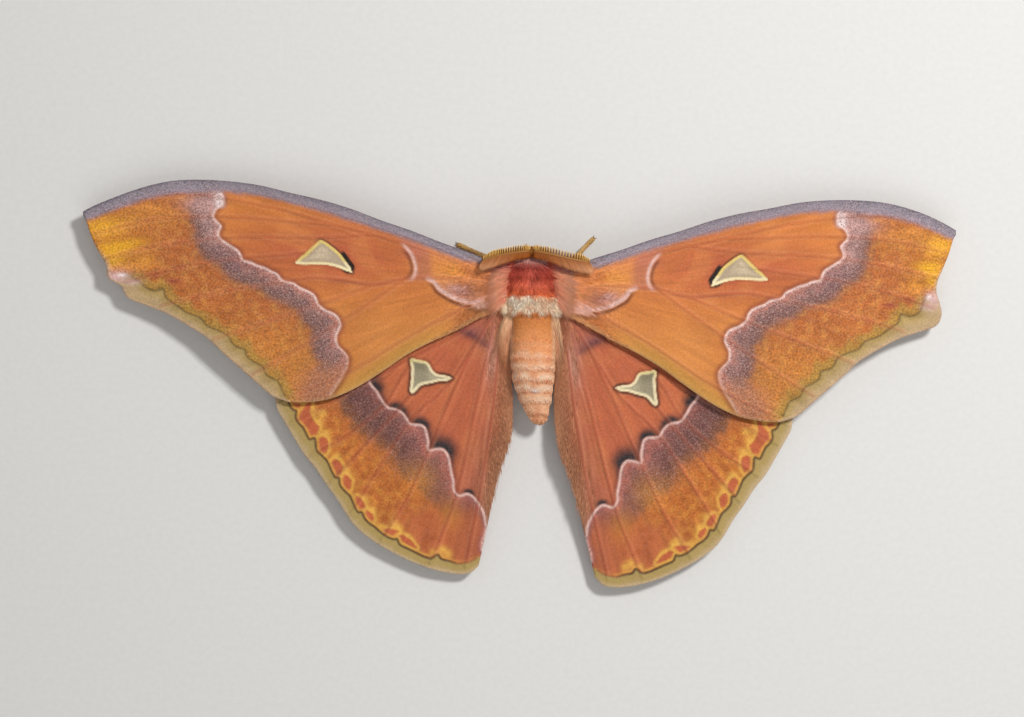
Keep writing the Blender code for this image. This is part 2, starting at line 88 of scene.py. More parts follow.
def roundLine(points, parts=4):
    line = np.array(points, float)
    before = np.vstack([2 * line[0] - line[1], line])
    after = np.vstack([line, 2 * line[-1] - line[-2]])
    slopes = (after[1:] - before[:-1]) * 0.5
    rows = []
    for i in range(len(line) - 1):
        for j in range(parts):
            f = j / parts
            rows.append(line[i] * (2 * f ** 3 - 3 * f ** 2 + 1) + slopes[i] * (f ** 3 - 2 * f ** 2 + f)
                        + line[i + 1] * (3 * f ** 2 - 2 * f ** 3) + slopes[i + 1] * (f ** 3 - f ** 2))
    rows.append(line[-1])
    return np.array(rows)


def lineDistance(x, y, points, closed=False):
    line = np.vstack([points, points[:1]]) if closed else np.asarray(points, float)
    best = np.full(len(x), 1e9)
    sign = np.ones(len(x))
    nearX = np.zeros(len(x))
    nearY = np.zeros(len(x))
    for (x0, y0), (x1, y1) in zip(line[:-1], line[1:]):
        dx, dy = x1 - x0, y1 - y0
        share = np.clip(((x - x0) * dx + (y - y0) * dy) / max(dx * dx + dy * dy, 1e-9), 0.0, 1.0)
        px, py = x0 + dx * share, y0 + dy * share
        distance = np.hypot(x - px, y - py)
        closer = distance < best
        best = np.where(closer, distance, best)
        sign = np.where(closer, np.sign(dx * (y - y0) - dy * (x - x0)), sign)
        nearX = np.where(closer, px, nearX)
        nearY = np.where(closer, py, nearY)
    return best, sign, nearX, nearY


def signedDistance(x, y, points):
    best, sign = lineDistance(x, y, points)[:2]
    return best * sign


def insideShape(x, y, points):
    within = np.zeros(len(x), bool)
    px, py = points[-1]
    for cx, cy in points:
        if cy != py:
            crossing = (px - cx) * (y - cy) / (py - cy) + cx
            within ^= ((cy > y) != (py > y)) & (x < crossing)
        px, py = cx, cy
    return within


def shapeDistance(x, y, points):
    best = lineDistance(x, y, points, closed=True)[0]
    return np.where(insideShape(x, y, points), -best, best)


# materials

def newMaterial(name):
    material = bpy.data.materials.new(name)
    material.use_nodes = True
    nodes = material.node_tree.nodes
    return material, nodes, material.node_tree.links, nodes["Principled BSDF"]


def addNoise(nodes, links, place, scale, detail):
    texture = nodes.new("ShaderNodeTexNoise")
    texture.inputs["Scale"].default_value = scale
    texture.inputs["Detail"].default_value = detail
    links.new(place.outputs["Object"], texture.inputs["Vector"])
    return texture.outputs["Fac"]


def addRamp(nodes, links, source, low, high, start, end):
    ramp = nodes.new("ShaderNodeMapRange")
    ramp.clamp = True
    for name, value in (("From Min", low), ("From Max", high), ("To Min", start), ("To Max", end)):
        ramp.inputs[name].default_value = value
    links.new(source, ramp.inputs["Value"])
    return ramp.outputs["Result"]


def addMix(nodes, links, kind, amount, first, second):
    mix = nodes.new("ShaderNodeMix")
    mix.data_type = "RGBA"
    mix.blend_type = kind
    for socket, value in ((mix.inputs[0], amount), (mix.inputs[6], first), (mix.inputs[7], second)):
        if isinstance(value, bpy.types.NodeSocket):
            links.new(value, socket)
        elif isinstance(value, str):
            socket.default_value = (*colour(value), 1.0)
        else:
            socket.default_value = value
    return mix.outputs[2]


def addProduct(nodes, links, first, second):
    product = nodes.new("ShaderNodeMath")
    product.operation = "MULTIPLY"
    links.new(first, product.inputs[0])
    links.new(second, product.inputs[1])
    return product.outputs[0]


def addBump(nodes, links, shader, height, strength, distance):
    bump = nodes.new("ShaderNodeBump")
    bump.inputs["Strength"].default_value = strength
    bump.inputs["Distance"].default_value = distance
    links.new(height, bump.inputs["Height"])
    links.new(bump.outputs["Normal"], shader.inputs["Normal"])


def readAttribute(nodes, name):
    reader = nodes.new("ShaderNodeAttribute")
    reader.attribute_name = name
    return reader


scaleLooks = {
    "grainScale": 3500.0, "otherGrain": 1.37, "lightGrain": "#CDAEA6", "darkGrain": "#4A302E",
    "scaleScale": 2500.0, "roughness": 0.75, "gloss": 0.25, "bump": 0.55, "bumpDepth": 0.00012,
}
eyeLooks = {"facetScale": 9000.0, "rim": "#3A221A", "middle": "#140C0A", "roughness": 0.18, "bump": 0.35,
            "bumpDepth": 0.00005}
floorLooks = {"scale": 900.0, "dark": "#D8D6D2", "light": "#DCDAD6", "roughness": 0.8, "reach": 2.0}


def makeWingMaterial():
    material, nodes, links, shader = newMaterial("wingScales")
    place = nodes.new("ShaderNodeTexCoord")
    tint = readAttribute(nodes, "tint").outputs["Color"]
    grain = readAttribute(nodes, "grain").outputs["Fac"]
    fine = addNoise(nodes, links, place, scaleLooks["scaleScale"], 2.0)
    coarse = addNoise(nodes, links, place, scaleLooks["grainScale"], 2.0)
    other = addNoise(nodes, links, place, scaleLooks["grainScale"] * scaleLooks["otherGrain"], 1.0)
    rough = readAttribute(nodes, "rough").outputs["Fac"]
    value = addRamp(nodes, links, fine, 0.3, 0.7, 0.55, 1.6)
    tint = addMix(nodes, links, "MULTIPLY", rough, tint, value)
    light = addProduct(nodes, links, addRamp(nodes, links, coarse, 0.5, 0.75, 0.0, 0.9), grain)
    tint = addMix(nodes, links, "MIX", light, tint, scaleLooks["lightGrain"])
    dark = addProduct(nodes, links, addRamp(nodes, links, other, 0.5, 0.72, 0.0, 0.9), grain)
    tint = addMix(nodes, links, "MIX", dark, tint, scaleLooks["darkGrain"])
    links.new(tint, shader.inputs["Base Color"])
    shader.inputs["Roughness"].default_value = scaleLooks["roughness"]
    shader.inputs["Specular IOR Level"].default_value = scaleLooks["gloss"]
    addBump(nodes, links, shader, fine, scaleLooks["bump"], scaleLooks["bumpDepth"])
    return material


def makeTintMaterial(name, scale, low, high, roughness, gloss, bump, depth):
    material, nodes, links, shader = newMaterial(name)
    place = nodes.new("ShaderNodeTexCoord")
    tint = readAttribute(nodes, "tint").outputs["Color"]
    fine = addNoise(nodes, links, place, scale, 3.0)
    value = addRamp(nodes, links, fine, 0.3, 0.7, low, high)
    links.new(addMix(nodes, links, "MULTIPLY", 1.0, tint, value), shader.inputs["Base Color"])
    shader.inputs["Roughness"].default_value = roughness
    shader.inputs["Specular IOR Level"].default_value = gloss
    addBump(nodes, links, shader, fine, bump, depth)
    return material


def makeEyeMaterial():
    material, nodes, links, shader = newMaterial("eyeFacets")
    place = nodes.new("ShaderNodeTexCoord")
    cells = nodes.new("ShaderNodeTexVoronoi")
    cells.inputs["Scale"].default_value = eyeLooks["facetScale"]
    links.new(place.outputs["Object"], cells.inputs["Vector"])
    tone = addRamp(nodes, links, cells.outputs["Distance"], 0.0, 0.6, 0.0, 1.0)
    facets = addMix(nodes, links, "MIX", tone, eyeLooks["rim"], eyeLooks["middle"])
    links.new(facets, shader.inputs["Base Color"])
    shader.inputs["Roughness"].default_value = eyeLooks["roughness"]
    addBump(nodes, links, shader, cells.outputs["Distance"], eyeLooks["bump"], eyeLooks["bumpDepth"])
    return material


def makeFloorMaterial():
    material, nodes, links, shader = newMaterial("paleFloor")
    place = nodes.new("ShaderNodeTexCoord")
    fine = addNoise(nodes, links, place, floorLooks["scale"], 3.0)
    tone = addRamp(nodes, links, fine, 0.3, 0.7, 0.0, 1.0)
    plain = addMix(nodes, links, "MIX", tone, floorLooks["dark"], floorLooks["light"])
    links.new(plain, shader.inputs["Base Color"])
    shader.inputs["Roughness"].default_value = floorLooks["roughness"]
    return material


# finishing a piece

def setAttribute(mesh, name, values):
    if values.ndim == 2:
        layer = mesh.attributes.new(name, "FLOAT_COLOR", "POINT")
        values = np.hstack([values, np.ones((len(values), 1))])
        layer.data.foreach_set("color", values.astype(np.float32).ravel())
    else:
        layer = mesh.attributes.new(name, "FLOAT", "POINT")
        layer.data.foreach_set("value", values.astype(np.float32))


def coordsOf(mesh):
    coords = np.empty(len(mesh.vertices) * 3, np.float32)
    mesh.vertices.foreach_get("co", coords)
    return coords.reshape(-1, 3).astype(float)


def shipPiece(name, mesh, material, nodes=()):
    coords = (coordsOf(mesh) + (shiftX, shiftY, 0.0)) * mm
    mesh.vertices.foreach_set("co", coords.astype(np.float32).ravel())
    mesh.polygons.foreach_set("use_smooth", np.ones(len(mesh.polygons), bool))
    mesh.materials.clear()
    mesh.materials.append(material)
    mesh.update()
    piece = bpy.data.objects.new(name, mesh)
    bpy.context.collection.objects.link(piece)
    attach(piece, "root")
    if nodes:
        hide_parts(*nodes)
    return piece


# Closes doubles nearer than "merge" and turns all faces outward
def mendShell(mesh, merge=0.0):
    shell = bmesh.new()
    shell.from_mesh(mesh)
    if merge > 0.0:
        bmesh.ops.remove_doubles(shell, verts=shell.verts, dist=merge)
    bmesh.ops.recalc_face_normals(shell, faces=shell.faces)
    shell.to_mesh(mesh)
    shell.free()


# A closed rod of length 1 and radius 1, cut across, that spreadLocks bends into a tuft or a branch
def makeLock(sides, cuts):
    lock = bmesh.new()
    bmesh.ops.create_cone(lock, cap_ends=True, cap_tris=False, segments=sides, radius1=1.0, radius2=1.0,
                          depth=1.0)
    bmesh.ops.translate(lock, verts=lock.verts, vec=(0.0, 0.0, 0.5))
    for cut in range(1, cuts):
        parts = lock.verts[:] + lock.edges[:] + lock.faces[:]
        bmesh.ops.bisect_plane(lock, geom=parts, plane_co=(0.0, 0.0, cut / cuts), plane_no=(0.0, 0.0, 1.0))
    bmesh.ops.triangulate(lock, faces=lock.faces)
    lock.verts.index_update()
    coords = np.array([vert.co[:] for vert in lock.verts])
    triangles = np.array([[vert.index for vert in face.verts] for face in lock.faces])
    lock.free()
    return coords, triangles


def unit(vectors):
    return vectors / np.maximum(np.linalg.norm(vectors, axis=-1, keepdims=True), 1e-9)


# Copies of one lock, each bent along its own curve from root over bend to tip
def spreadLocks(name, lock, root, bend, tip, side, width, thick, tint, tipTint, profile, patch=None):
    coords, triangles = lock
    count = len(root)
    t = coords[None, :, 2, None]
    curve = root[:, None] * (1 - t) ** 2 + bend[:, None] * (2 * t * (1 - t)) + tip[:, None] * t ** 2
    slope = unit((bend - root)[:, None] * (1 - t) + (tip - bend)[:, None] * t)
    across = unit(side[:, None] - slope * np.sum(side[:, None] * slope, axis=2, keepdims=True))
    up = np.cross(slope, across)
    swell = np.interp(coords[:, 2], *zip(*profile))
    reach = across * (coords[:, 0] * swell)[None, :, None] * width[:, None, None]
    reach = reach + up * (coords[:, 1] * swell)[None, :, None] * thick[:, None, None]
    places = (curve + reach).reshape(-1, 3)
    faces = (triangles[None] + (np.arange(count) * len(coords))[:, None, None]).reshape(-1, 3)
    mesh = bpy.data.meshes.new(name)
    mesh.vertices.add(len(places))
    mesh.vertices.foreach_set("co", places.astype(np.float32).ravel())
    mesh.loops.add(faces.size)
    mesh.loops.foreach_set("vertex_index", faces.astype(np.int32).ravel())
    mesh.polygons.add(len(faces))
    mesh.polygons.foreach_set("loop_start", np.arange(0, faces.size, 3, dtype=np.int32))
    mesh.update(calc_edges=True)
    tones = tint[:, None] + (tipTint - tint)[:, None] * t
    setAttribute(mesh, "tint", tones.reshape(-1, 3))
    if patch is not None:  # on the map, each tuft is a small patch at its root's place
        bake = mesh.uv_layers.new(name="OFBake")
        spread = np.stack([coords[:, 0] * 0.5, coords[:, 2] - 0.5], axis=1) * bakePatch
        bakePlaces = (patch[:, None] + spread[None]).reshape(-1, 2)
        bake.data.foreach_set("uv", bakePlaces[faces.ravel()].astype(np.float32).ravel())
    return mesh


bakePatch = 0.003
tuftLock = makeLock(3, 2)
ramusLock = makeLock(5, 4)
tuftProfile = [(0.0, 0.9), (0.5, 0.9), (1.0, 0.08)]
ramusProfile = [(0.0, 1.0), (0.25, 1.0), (0.75, 0.8), (1.0, 0.25)]


# wings

foreWing = {
    "costa": [(6.9, 4.3), (11.2, 6.4), (17.1, 8.5), (23.0, 10.8), (29.0, 12.8), (34.9, 15.0), (40.8, 16.7),
              (46.8, 18.0), (52.8, 19.4), (58.7, 20.1), (64.7, 20.3), (70.7, 19.9), (76.8, 18.4),
              (80.9, 16.8), (83.9, 15.3), (84.9, 14.6)],
    "outer": [(84.9, 14.6), (84.0, 13.3), (83.1, 10.1), (82.0, 7.0), (81.1, 4.6), (81.0, 2.4), (81.7, 0.4),
              (82.2, -2.0), (81.2, -4.3), (77.6, -5.7), (73.7, -7.2), (69.8, -9.4), (65.8, -12.0),
              (63.0, -14.8), (60.2, -17.4), (56.8, -20.6), (53.7, -23.4), (50.3, -24.7)],
    "inner": [(50.3, -24.7), (46.3, -24.6), (42.3, -23.9), (38.2, -22.3), (34.1, -20.0), (30.0, -17.3),
              (25.9, -14.5), (20.8, -11.7), (15.7, -9.3), (11.2, -6.8), (7.0, -4.6)],
    "root": [(4.2, -3.4), (4.2, 3.2)],
    "veins": [
        [(8.2, 3.4), (17.0, 7.2), (30.0, 11.7), (45.0, 16.0), (57.0, 18.6)],
        [(8.0, 2.4), (16.0, 5.4), (25.0, 8.3), (31.0, 9.9), (38.0, 11.6), (50.0, 14.8), (66.0, 17.4),
         (76.0, 16.6)],
        [(38.0, 11.6), (48.0, 12.2), (60.0, 12.9), (72.0, 12.4), (82.2, 10.6)],
        [(31.0, 9.9), (37.0, 9.3), (43.1, 8.9), (52.0, 8.9), (61.1, 8.5), (71.0, 7.3), (80.6, 5.4)],
        [(41.0, 6.4), (50.0, 5.2), (60.0, 4.2), (70.0, 2.4), (80.4, -0.6)],
        [(8.0, 0.6), (16.0, 1.4), (24.8, 1.1), (31.4, -0.3), (37.4, 0.5), (43.4, 0.9), (49.0, -0.1),
         (58.0, -1.6), (67.0, -3.6), (74.6, -5.6)],
        [(31.4, -0.3), (40.0, -3.6), (50.0, -7.2), (58.0, -10.0), (64.4, -12.2)],
        [(24.8, 1.1), (32.0, -3.8), (41.0, -9.6), (50.0, -15.2), (57.0, -19.2)],
        [(8.0, -1.6), (14.0, -4.8), (24.0, -10.0), (33.0, -15.6), (42.0, -20.4), (49.4, -23.4)]],
    "hinge": (6.0, 1.0), "rootZ": 10.0, "edgeZ": 4.6, "reach": 86.0,
}

hindWing = {
    "costa": [(6.6, -2.0), (14.0, -5.2), (24.0, -9.4), (34.0, -14.0), (44.0, -18.8), (51.0, -21.8),
              (53.2, -23.4)],
    "outer": [(53.2, -23.4), (52.9, -26.2), (51.4, -29.2), (49.8, -32.3), (48.1, -35.4), (46.0, -38.2),
              (44.1, -41.4), (42.0, -44.6), (40.1, -48.1), (38.2, -50.6), (35.0, -53.1), (31.2, -55.3),
              (27.4, -57.1), (23.5, -58.4), (19.5, -59.1), (16.5, -58.9), (14.6, -57.4)],
    "inner": [(14.6, -57.4), (13.5, -53.6), (12.1, -48.6), (10.5, -42.7), (8.9, -36.9), (6.6, -30.8),
              (5.9, -27.6), (5.5, -24.0), (5.3, -20.8), (5.3, -15.8), (5.4, -10.8), (5.7, -7.6)],
    "root": [(4.2, -6.4), (4.2, -2.4)],
    "veins": [
        [(8.0, -3.6), (16.0, -7.6), (28.0, -13.0), (40.0, -18.6), (49.0, -23.2), (52.2, -25.2)],
        [(8.0, -4.8), (15.0, -9.8), (24.0, -14.6), (34.0, -20.0), (43.0, -25.2), (50.4, -29.2)],
        [(24.0, -14.6), (27.4, -19.4), (30.9, -24.6), (38.0, -30.4), (46.6, -35.6)],
        [(25.6, -22.4), (29.0, -26.4), (34.5, -32.0), (43.2, -41.0)],
        [(8.0, -6.0), (12.0, -12.0), (18.2, -20.6), (25.4, -27.0), (32.0, -36.0), (39.6, -47.4)],
        [(12.0, -12.0), (17.6, -23.0), (22.8, -33.8), (28.0, -44.0), (33.8, -52.6)],
        [(8.0, -8.0), (12.8, -25.0), (17.9, -42.6), (21.4, -51.0), (24.2, -57.0)],
        [(7.4, -12.0), (9.4, -25.0), (12.6, -40.0), (15.2, -50.0), (17.2, -57.6)]],
    "hinge": (5.0, -4.0), "rootZ": 8.5, "edgeZ": 3.1, "reach": 64.0,
}

wingShape = {
    "cell": 0.25, "thickness": 0.34, "topRise": 0.2, "veinRise": 0.3, "veinHalf": 0.42, "hollow": 0.16,
    "droop": 1.3, "fold": 1.6, "foldPlace": 4.2, "foldReach": 2.3,
}

leftSet = {
    "slant": -0.105, "rise": 0.01, "depth": 0.98, "shift": (-0.4, 0.6), "flare": 4.4, "flareDrop": 0.4,
    "flareStart": (75.0, -2.5), "flareSpan": (7.5, 5.0),
}


def wingHeight(wing, x, y, hind):
    reach = np.hypot(x - wing["hinge"][0], y - wing["hinge"][1])
    fall = np.maximum(0.0, 1.0 - reach / wing["reach"]) ** wingShape["droop"]
    if hind:
        wave = 0.3 * np.sin(reach * 0.2 + x * 0.1) * np.maximum(0.0, reach / 30.0 - 0.6)
        beside = smooth(-y, 7.0, 10.0) * (1.0 - smooth(-y, 24.0, 32.0))
        wave = wave - wingShape["fold"] * hump(x, wingShape["foldPlace"], wingShape["foldReach"]) * beside
    else:
        wave = 0.35 * np.sin(reach * 0.16 + y * 0.12) * np.minimum(1.0, reach / 30.0)
    return wing["edgeZ"] + (wing["rootZ"] - wing["edgeZ"]) * fall + wave


# The left wings lie a little further forward than the right ones
def toSide(x, y, side):
    if side > 0:
        return x, y
    startX, startY = leftSet["flareStart"]
    spanX, spanY = leftSet["flareSpan"]
    flare = leftSet["flare"] * smooth(x, startX, startX + spanX) * smooth(y, startY, startY + spanY)
    across = -x + y * leftSet["slant"] + leftSet["shift"][0] - flare
    along = y * leftSet["depth"] - x * leftSet["rise"] + leftSet["shift"][1] - leftSet["flareDrop"] * flare
    return across, along


def growSheet(wing):
    runs = [roundLine(wing[name])[:-1] for name in ("costa", "outer", "inner")]
    outline = np.vstack(runs + [np.array([wing["inner"][-1]] + wing["root"])])
    low = outline.min(axis=0)
    size = outline.max(axis=0) - low
    cells = np.ceil(size / wingShape["cell"]).astype(int)
    sheet = bmesh.new()
    bmesh.ops.create_grid(sheet, x_segments=int(cells[0]), y_segments=int(cells[1]), size=0.5)
    bmesh.ops.translate(sheet, verts=sheet.verts, vec=(0.5, 0.5, 0.0))
    bmesh.ops.scale(sheet, verts=sheet.verts, vec=(size[0], size[1], 1.0))
    bmesh.ops.translate(sheet, verts=sheet.verts, vec=(low[0], low[1], 0.0))
    places = np.array([vert.co[:2] for vert in sheet.verts])
    within = insideShape(places[:, 0], places[:, 1], outline)
    stray = [vert for vert, keep in zip(sheet.verts, within) if not keep]
    bmesh.ops.delete(sheet, geom=stray, context="VERTS")
    for _ in range(2):
        loose = [vert for vert in sheet.verts if len(vert.link_faces) < 2]
        bmesh.ops.delete(sheet, geom=loose, context="VERTS")
    rim = [vert for vert in sheet.verts if vert.is_boundary]
    spots = np.array([vert.co[:2] for vert in rim])
    nearest = lineDistance(spots[:, 0], spots[:, 1], outline, closed=True)
    for vert, x, y in zip(rim, nearest[2], nearest[3]):
        vert.co.x, vert.co.y = x, y
    middle = [vert for vert in sheet.verts if not vert.is_boundary]
    for _ in range(3):
        bmesh.ops.smooth_vert(sheet, verts=middle, factor=0.5, use_axis_x=True, use_axis_y=True)
    return sheet


def veinReach(x, y, wing):
    return np.minimum.reduce([lineDistance(x, y, roundLine(vein, 3))[0] for vein in wing["veins"]])


def makeWing(label, wing, side, hind, painter, material, node):
    sheet = growSheet(wing)
    across = sheet.verts.layers.float.new("across")
    along = sheet.verts.layers.float.new("along")
    places = np.array([vert.co[:2] for vert in sheet.verts])
    x, y = places[:, 0], places[:, 1]
    newX, newY = toSide(x, y, side)
    veins = veinReach(x, y, wing)
    ridge = wingShape["veinRise"] * np.maximum(0.0, 1.0 - veins / wingShape["veinHalf"]) ** 0.8
    dip = wingShape["hollow"] * smooth(veins, 0.3, 3.0)
    z = wingHeight(wing, np.abs(newX), newY, hind) + wingShape["topRise"] + ridge - dip
    for vert, a, b, px, py, pz in zip(sheet.verts, x, y, newX, newY, z):
        vert[across] = a
        vert[along] = b
        vert.co = (px, py, pz)
    grown = bmesh.ops.extrude_face_region(sheet, geom=sheet.faces[:])["geom"]
    under = [part for part in grown if isinstance(part, bmesh.types.BMVert)]
    bmesh.ops.translate(sheet, verts=under, vec=(0.0, 0.0, -wingShape["thickness"]))
    bmesh.ops.recalc_face_normals(sheet, faces=sheet.faces)
    openEdges = sum(1 for edge in sheet.edges if not edge.is_manifold)
    mesh = bpy.data.meshes.new(label)
    sheet.to_mesh(mesh)
    sheet.free()
    count = len(mesh.vertices)
    x = np.empty(count, np.float32)
    y = np.empty(count, np.float32)
    mesh.attributes["across"].data.foreach_get("value", x)
    mesh.attributes["along"].data.foreach_get("value", y)
    x, y = x.astype(float), y.astype(float)
    looks = painter(x, y, wing, veinReach(x, y, wing))
    for name in ("across", "along"):
        mesh.attributes.remove(mesh.attributes[name])
    for name, values in zip(("tint", "grain", "rough"), looks):
        setAttribute(mesh, name, values)
    unwrapSheet(mesh, x, y)
    print("wing", label, len(mesh.polygons) * 2, "triangles,", openEdges, "open edges")
    kept = mesh.copy()
    shipPiece(label, mesh, material, (node,))
    return kept


# Upper face on the left half of the map, under face on the right half
def unwrapSheet(mesh, x, y):
    facing = np.empty(len(mesh.polygons) * 3, np.float32)
    mesh.polygons.foreach_get("normal", facing)
    upper = facing.reshape(-1, 3)[:, 2] > 0
    totals = np.empty(len(mesh.polygons), np.int32)
    mesh.polygons.foreach_get("loop_total", totals)
    corners = np.empty(len(mesh.loops), np.int32)
    mesh.loops.foreach_get("vertex_index", corners)
    half = np.repeat(np.where(upper, 0.0, 0.5), totals)
    span = max(np.ptp(x), np.ptp(y) * 0.5) * 1.02
    u = (x - x.min()) / span * 0.48 + 0.01
    v = (y - y.min()) / span * 0.48 + 0.01
    layer = mesh.uv_layers.new(name="OFBake")
    layer.data.foreach_set("uv", np.stack([u[corners] + half, v[corners]], axis=1).astype(np.float32).ravel())


# forewing pattern

foreMarks = {
    "middle": [(61.0, 18.1), (60.4, 16.9), (60.5, 15.7), (61.5, 14.8), (62.4, 13.8), (62.6, 12.6),
               (61.8, 11.6), (61.3, 10.9), (61.7, 10.0), (61.9, 9.0), (61.2, 8.1), (59.8, 7.1), (58.4, 6.2),
               (57.8, 5.4), (57.5, 4.6), (57.1, 4.0), (55.7, 3.7), (54.5, 3.1), (53.1, 2.7), (51.8, 2.0),
               (50.6, 1.4), (49.8, 0.3), (48.8, -0.1), (47.6, -0.3), (46.3, -1.2), (44.9, -1.8),
               (43.7, -2.5), (43.1, -3.5), (42.8, -4.5), (41.6, -5.6), (40.2, -6.2), (39.3, -6.8),
               (38.7, -7.9), (38.7, -9.1), (39.6, -10.8), (39.5, -12.8), (38.1, -14.3), (37.6, -15.7),
               (38.2, -17.9), (40.2, -21.0), (41.6, -23.0)],
    "margin": [(79.4, 2.6), (78.6, 0.7), (77.7, -1.7), (75.9, -2.6), (73.9, -2.2), (73.6, -3.8), (71.2, -5.7),
               (69.3, -7.0), (66.9, -7.9), (65.6, -9.5), (63.4, -10.4), (61.4, -11.5), (60.9, -12.7),
               (59.9, -13.7), (58.3, -14.2), (58.0, -15.6), (56.4, -16.8), (54.9, -17.7), (54.3, -19.3),
               (52.3, -20.4), (51.6, -21.8), (51.0, -23.4)],
    "band": [(4.0, 2.6), (8.3, 3.9), (13.2, 4.9), (17.2, 6.2), (23.1, 8.6), (29.1, 10.4), (33.0, 11.8),
             (37.0, 12.9), (42.9, 14.7), (48.9, 16.1), (52.8, 16.9), (56.8, 17.4), (60.0, 17.7), (64.8, 17.3),
             (68.8, 17.2), (72.9, 16.6), (76.9, 15.7), (79.9, 14.4), (83.4, 13.1), (85.0, 11.8)],
    "upperArc": [(25.6, 8.4), (25.3, 7.9), (24.6, 7.0), (23.8, 5.8), (23.4, 4.6), (23.2, 3.4), (23.4, 2.2),
                 (24.1, 1.1), (24.8, 0.7)],
    "lowerArc": [(20.6, 0.6), (19.6, 0.1), (19.2, -0.5), (18.5, -1.4), (17.3, -2.2), (15.9, -3.0),
                 (14.5, -3.5), (12.9, -3.9), (11.6, -4.1), (10.2, -4.4), (9.0, -4.3), (7.1, -4.0)],
    "stem": [(8.4, -0.1), (13.4, 0.7), (19.4, 1.5), (24.8, 1.1), (28.4, 0.2), (32.4, -0.3), (36.4, 0.1),
             (41.4, 0.8), (46.4, 0.4), (49.0, -0.1)],
    "triangle": [(35.6, 2.0), (35.9, 3.1), (36.7, 4.3), (37.6, 5.7), (39.0, 7.0), (40.3, 8.0), (41.5, 8.5),
                 (42.8, 7.5), (44.4, 6.0), (45.9, 4.8), (46.9, 3.6), (44.9, 3.4), (42.5, 3.5), (40.1, 3.4),
                 (38.1, 2.9), (36.7, 2.3)],
    "zones": [(0.3, "#BC8072"), (1.0, "#B07264"), (2.2, "#9A6C62"), (3.6, "#825C56"), (5.0, "#7E564A"),
              (6.6, "#A0623C"), (8.4, "#B26834"), (20.0, "#B66A30")],
    # colour, strength, middle and reach across, middle and reach along
    "apexDabs": [("#E4A428", 0.95, 81.2, 2.8, 11.4, 2.0), ("#E2A220", 0.95, 79.2, 3.0, 7.4, 1.3),
                 ("#E4A626", 0.95, 80.2, 1.7, 5.4, 2.3), ("#DC9434", 0.7, 76.6, 1.8, 3.6, 1.6),
                 ("#8E3E34", 0.75, 71.9, 1.5, -0.5, 0.5), ("#963E20", 0.7, 75.0, 0.9, 0.7, 0.6)],
    "tipDabs": [("#DCB0AE", 0.9, 80.6, 1.6, 1.2, 1.5), ("#F4E0DC", 0.9, 79.5, 0.5, 1.4, 0.5),
                ("#C0A4A4", 0.7, 79.4, 1.4, -0.6, 0.8)],
}


def fromMarks(x, y, marks, *names):
    return [signedDistance(x, y, roundLine(marks[name], 3)) for name in names]


def fromEdges(x, y, lines, *names):
    return [lineDistance(x, y, roundLine(lines[name], 2))[0] for name in names]


# Fine stripes that run out from the hinge
def streaks(x, y, hinge, seed):
    turn = np.arctan2(y - hinge[1], x - hinge[0]) * 55.0
    return mottle(turn, np.hypot(x - hinge[0], y - hinge[1]) / 7.0, 1.0, seed)


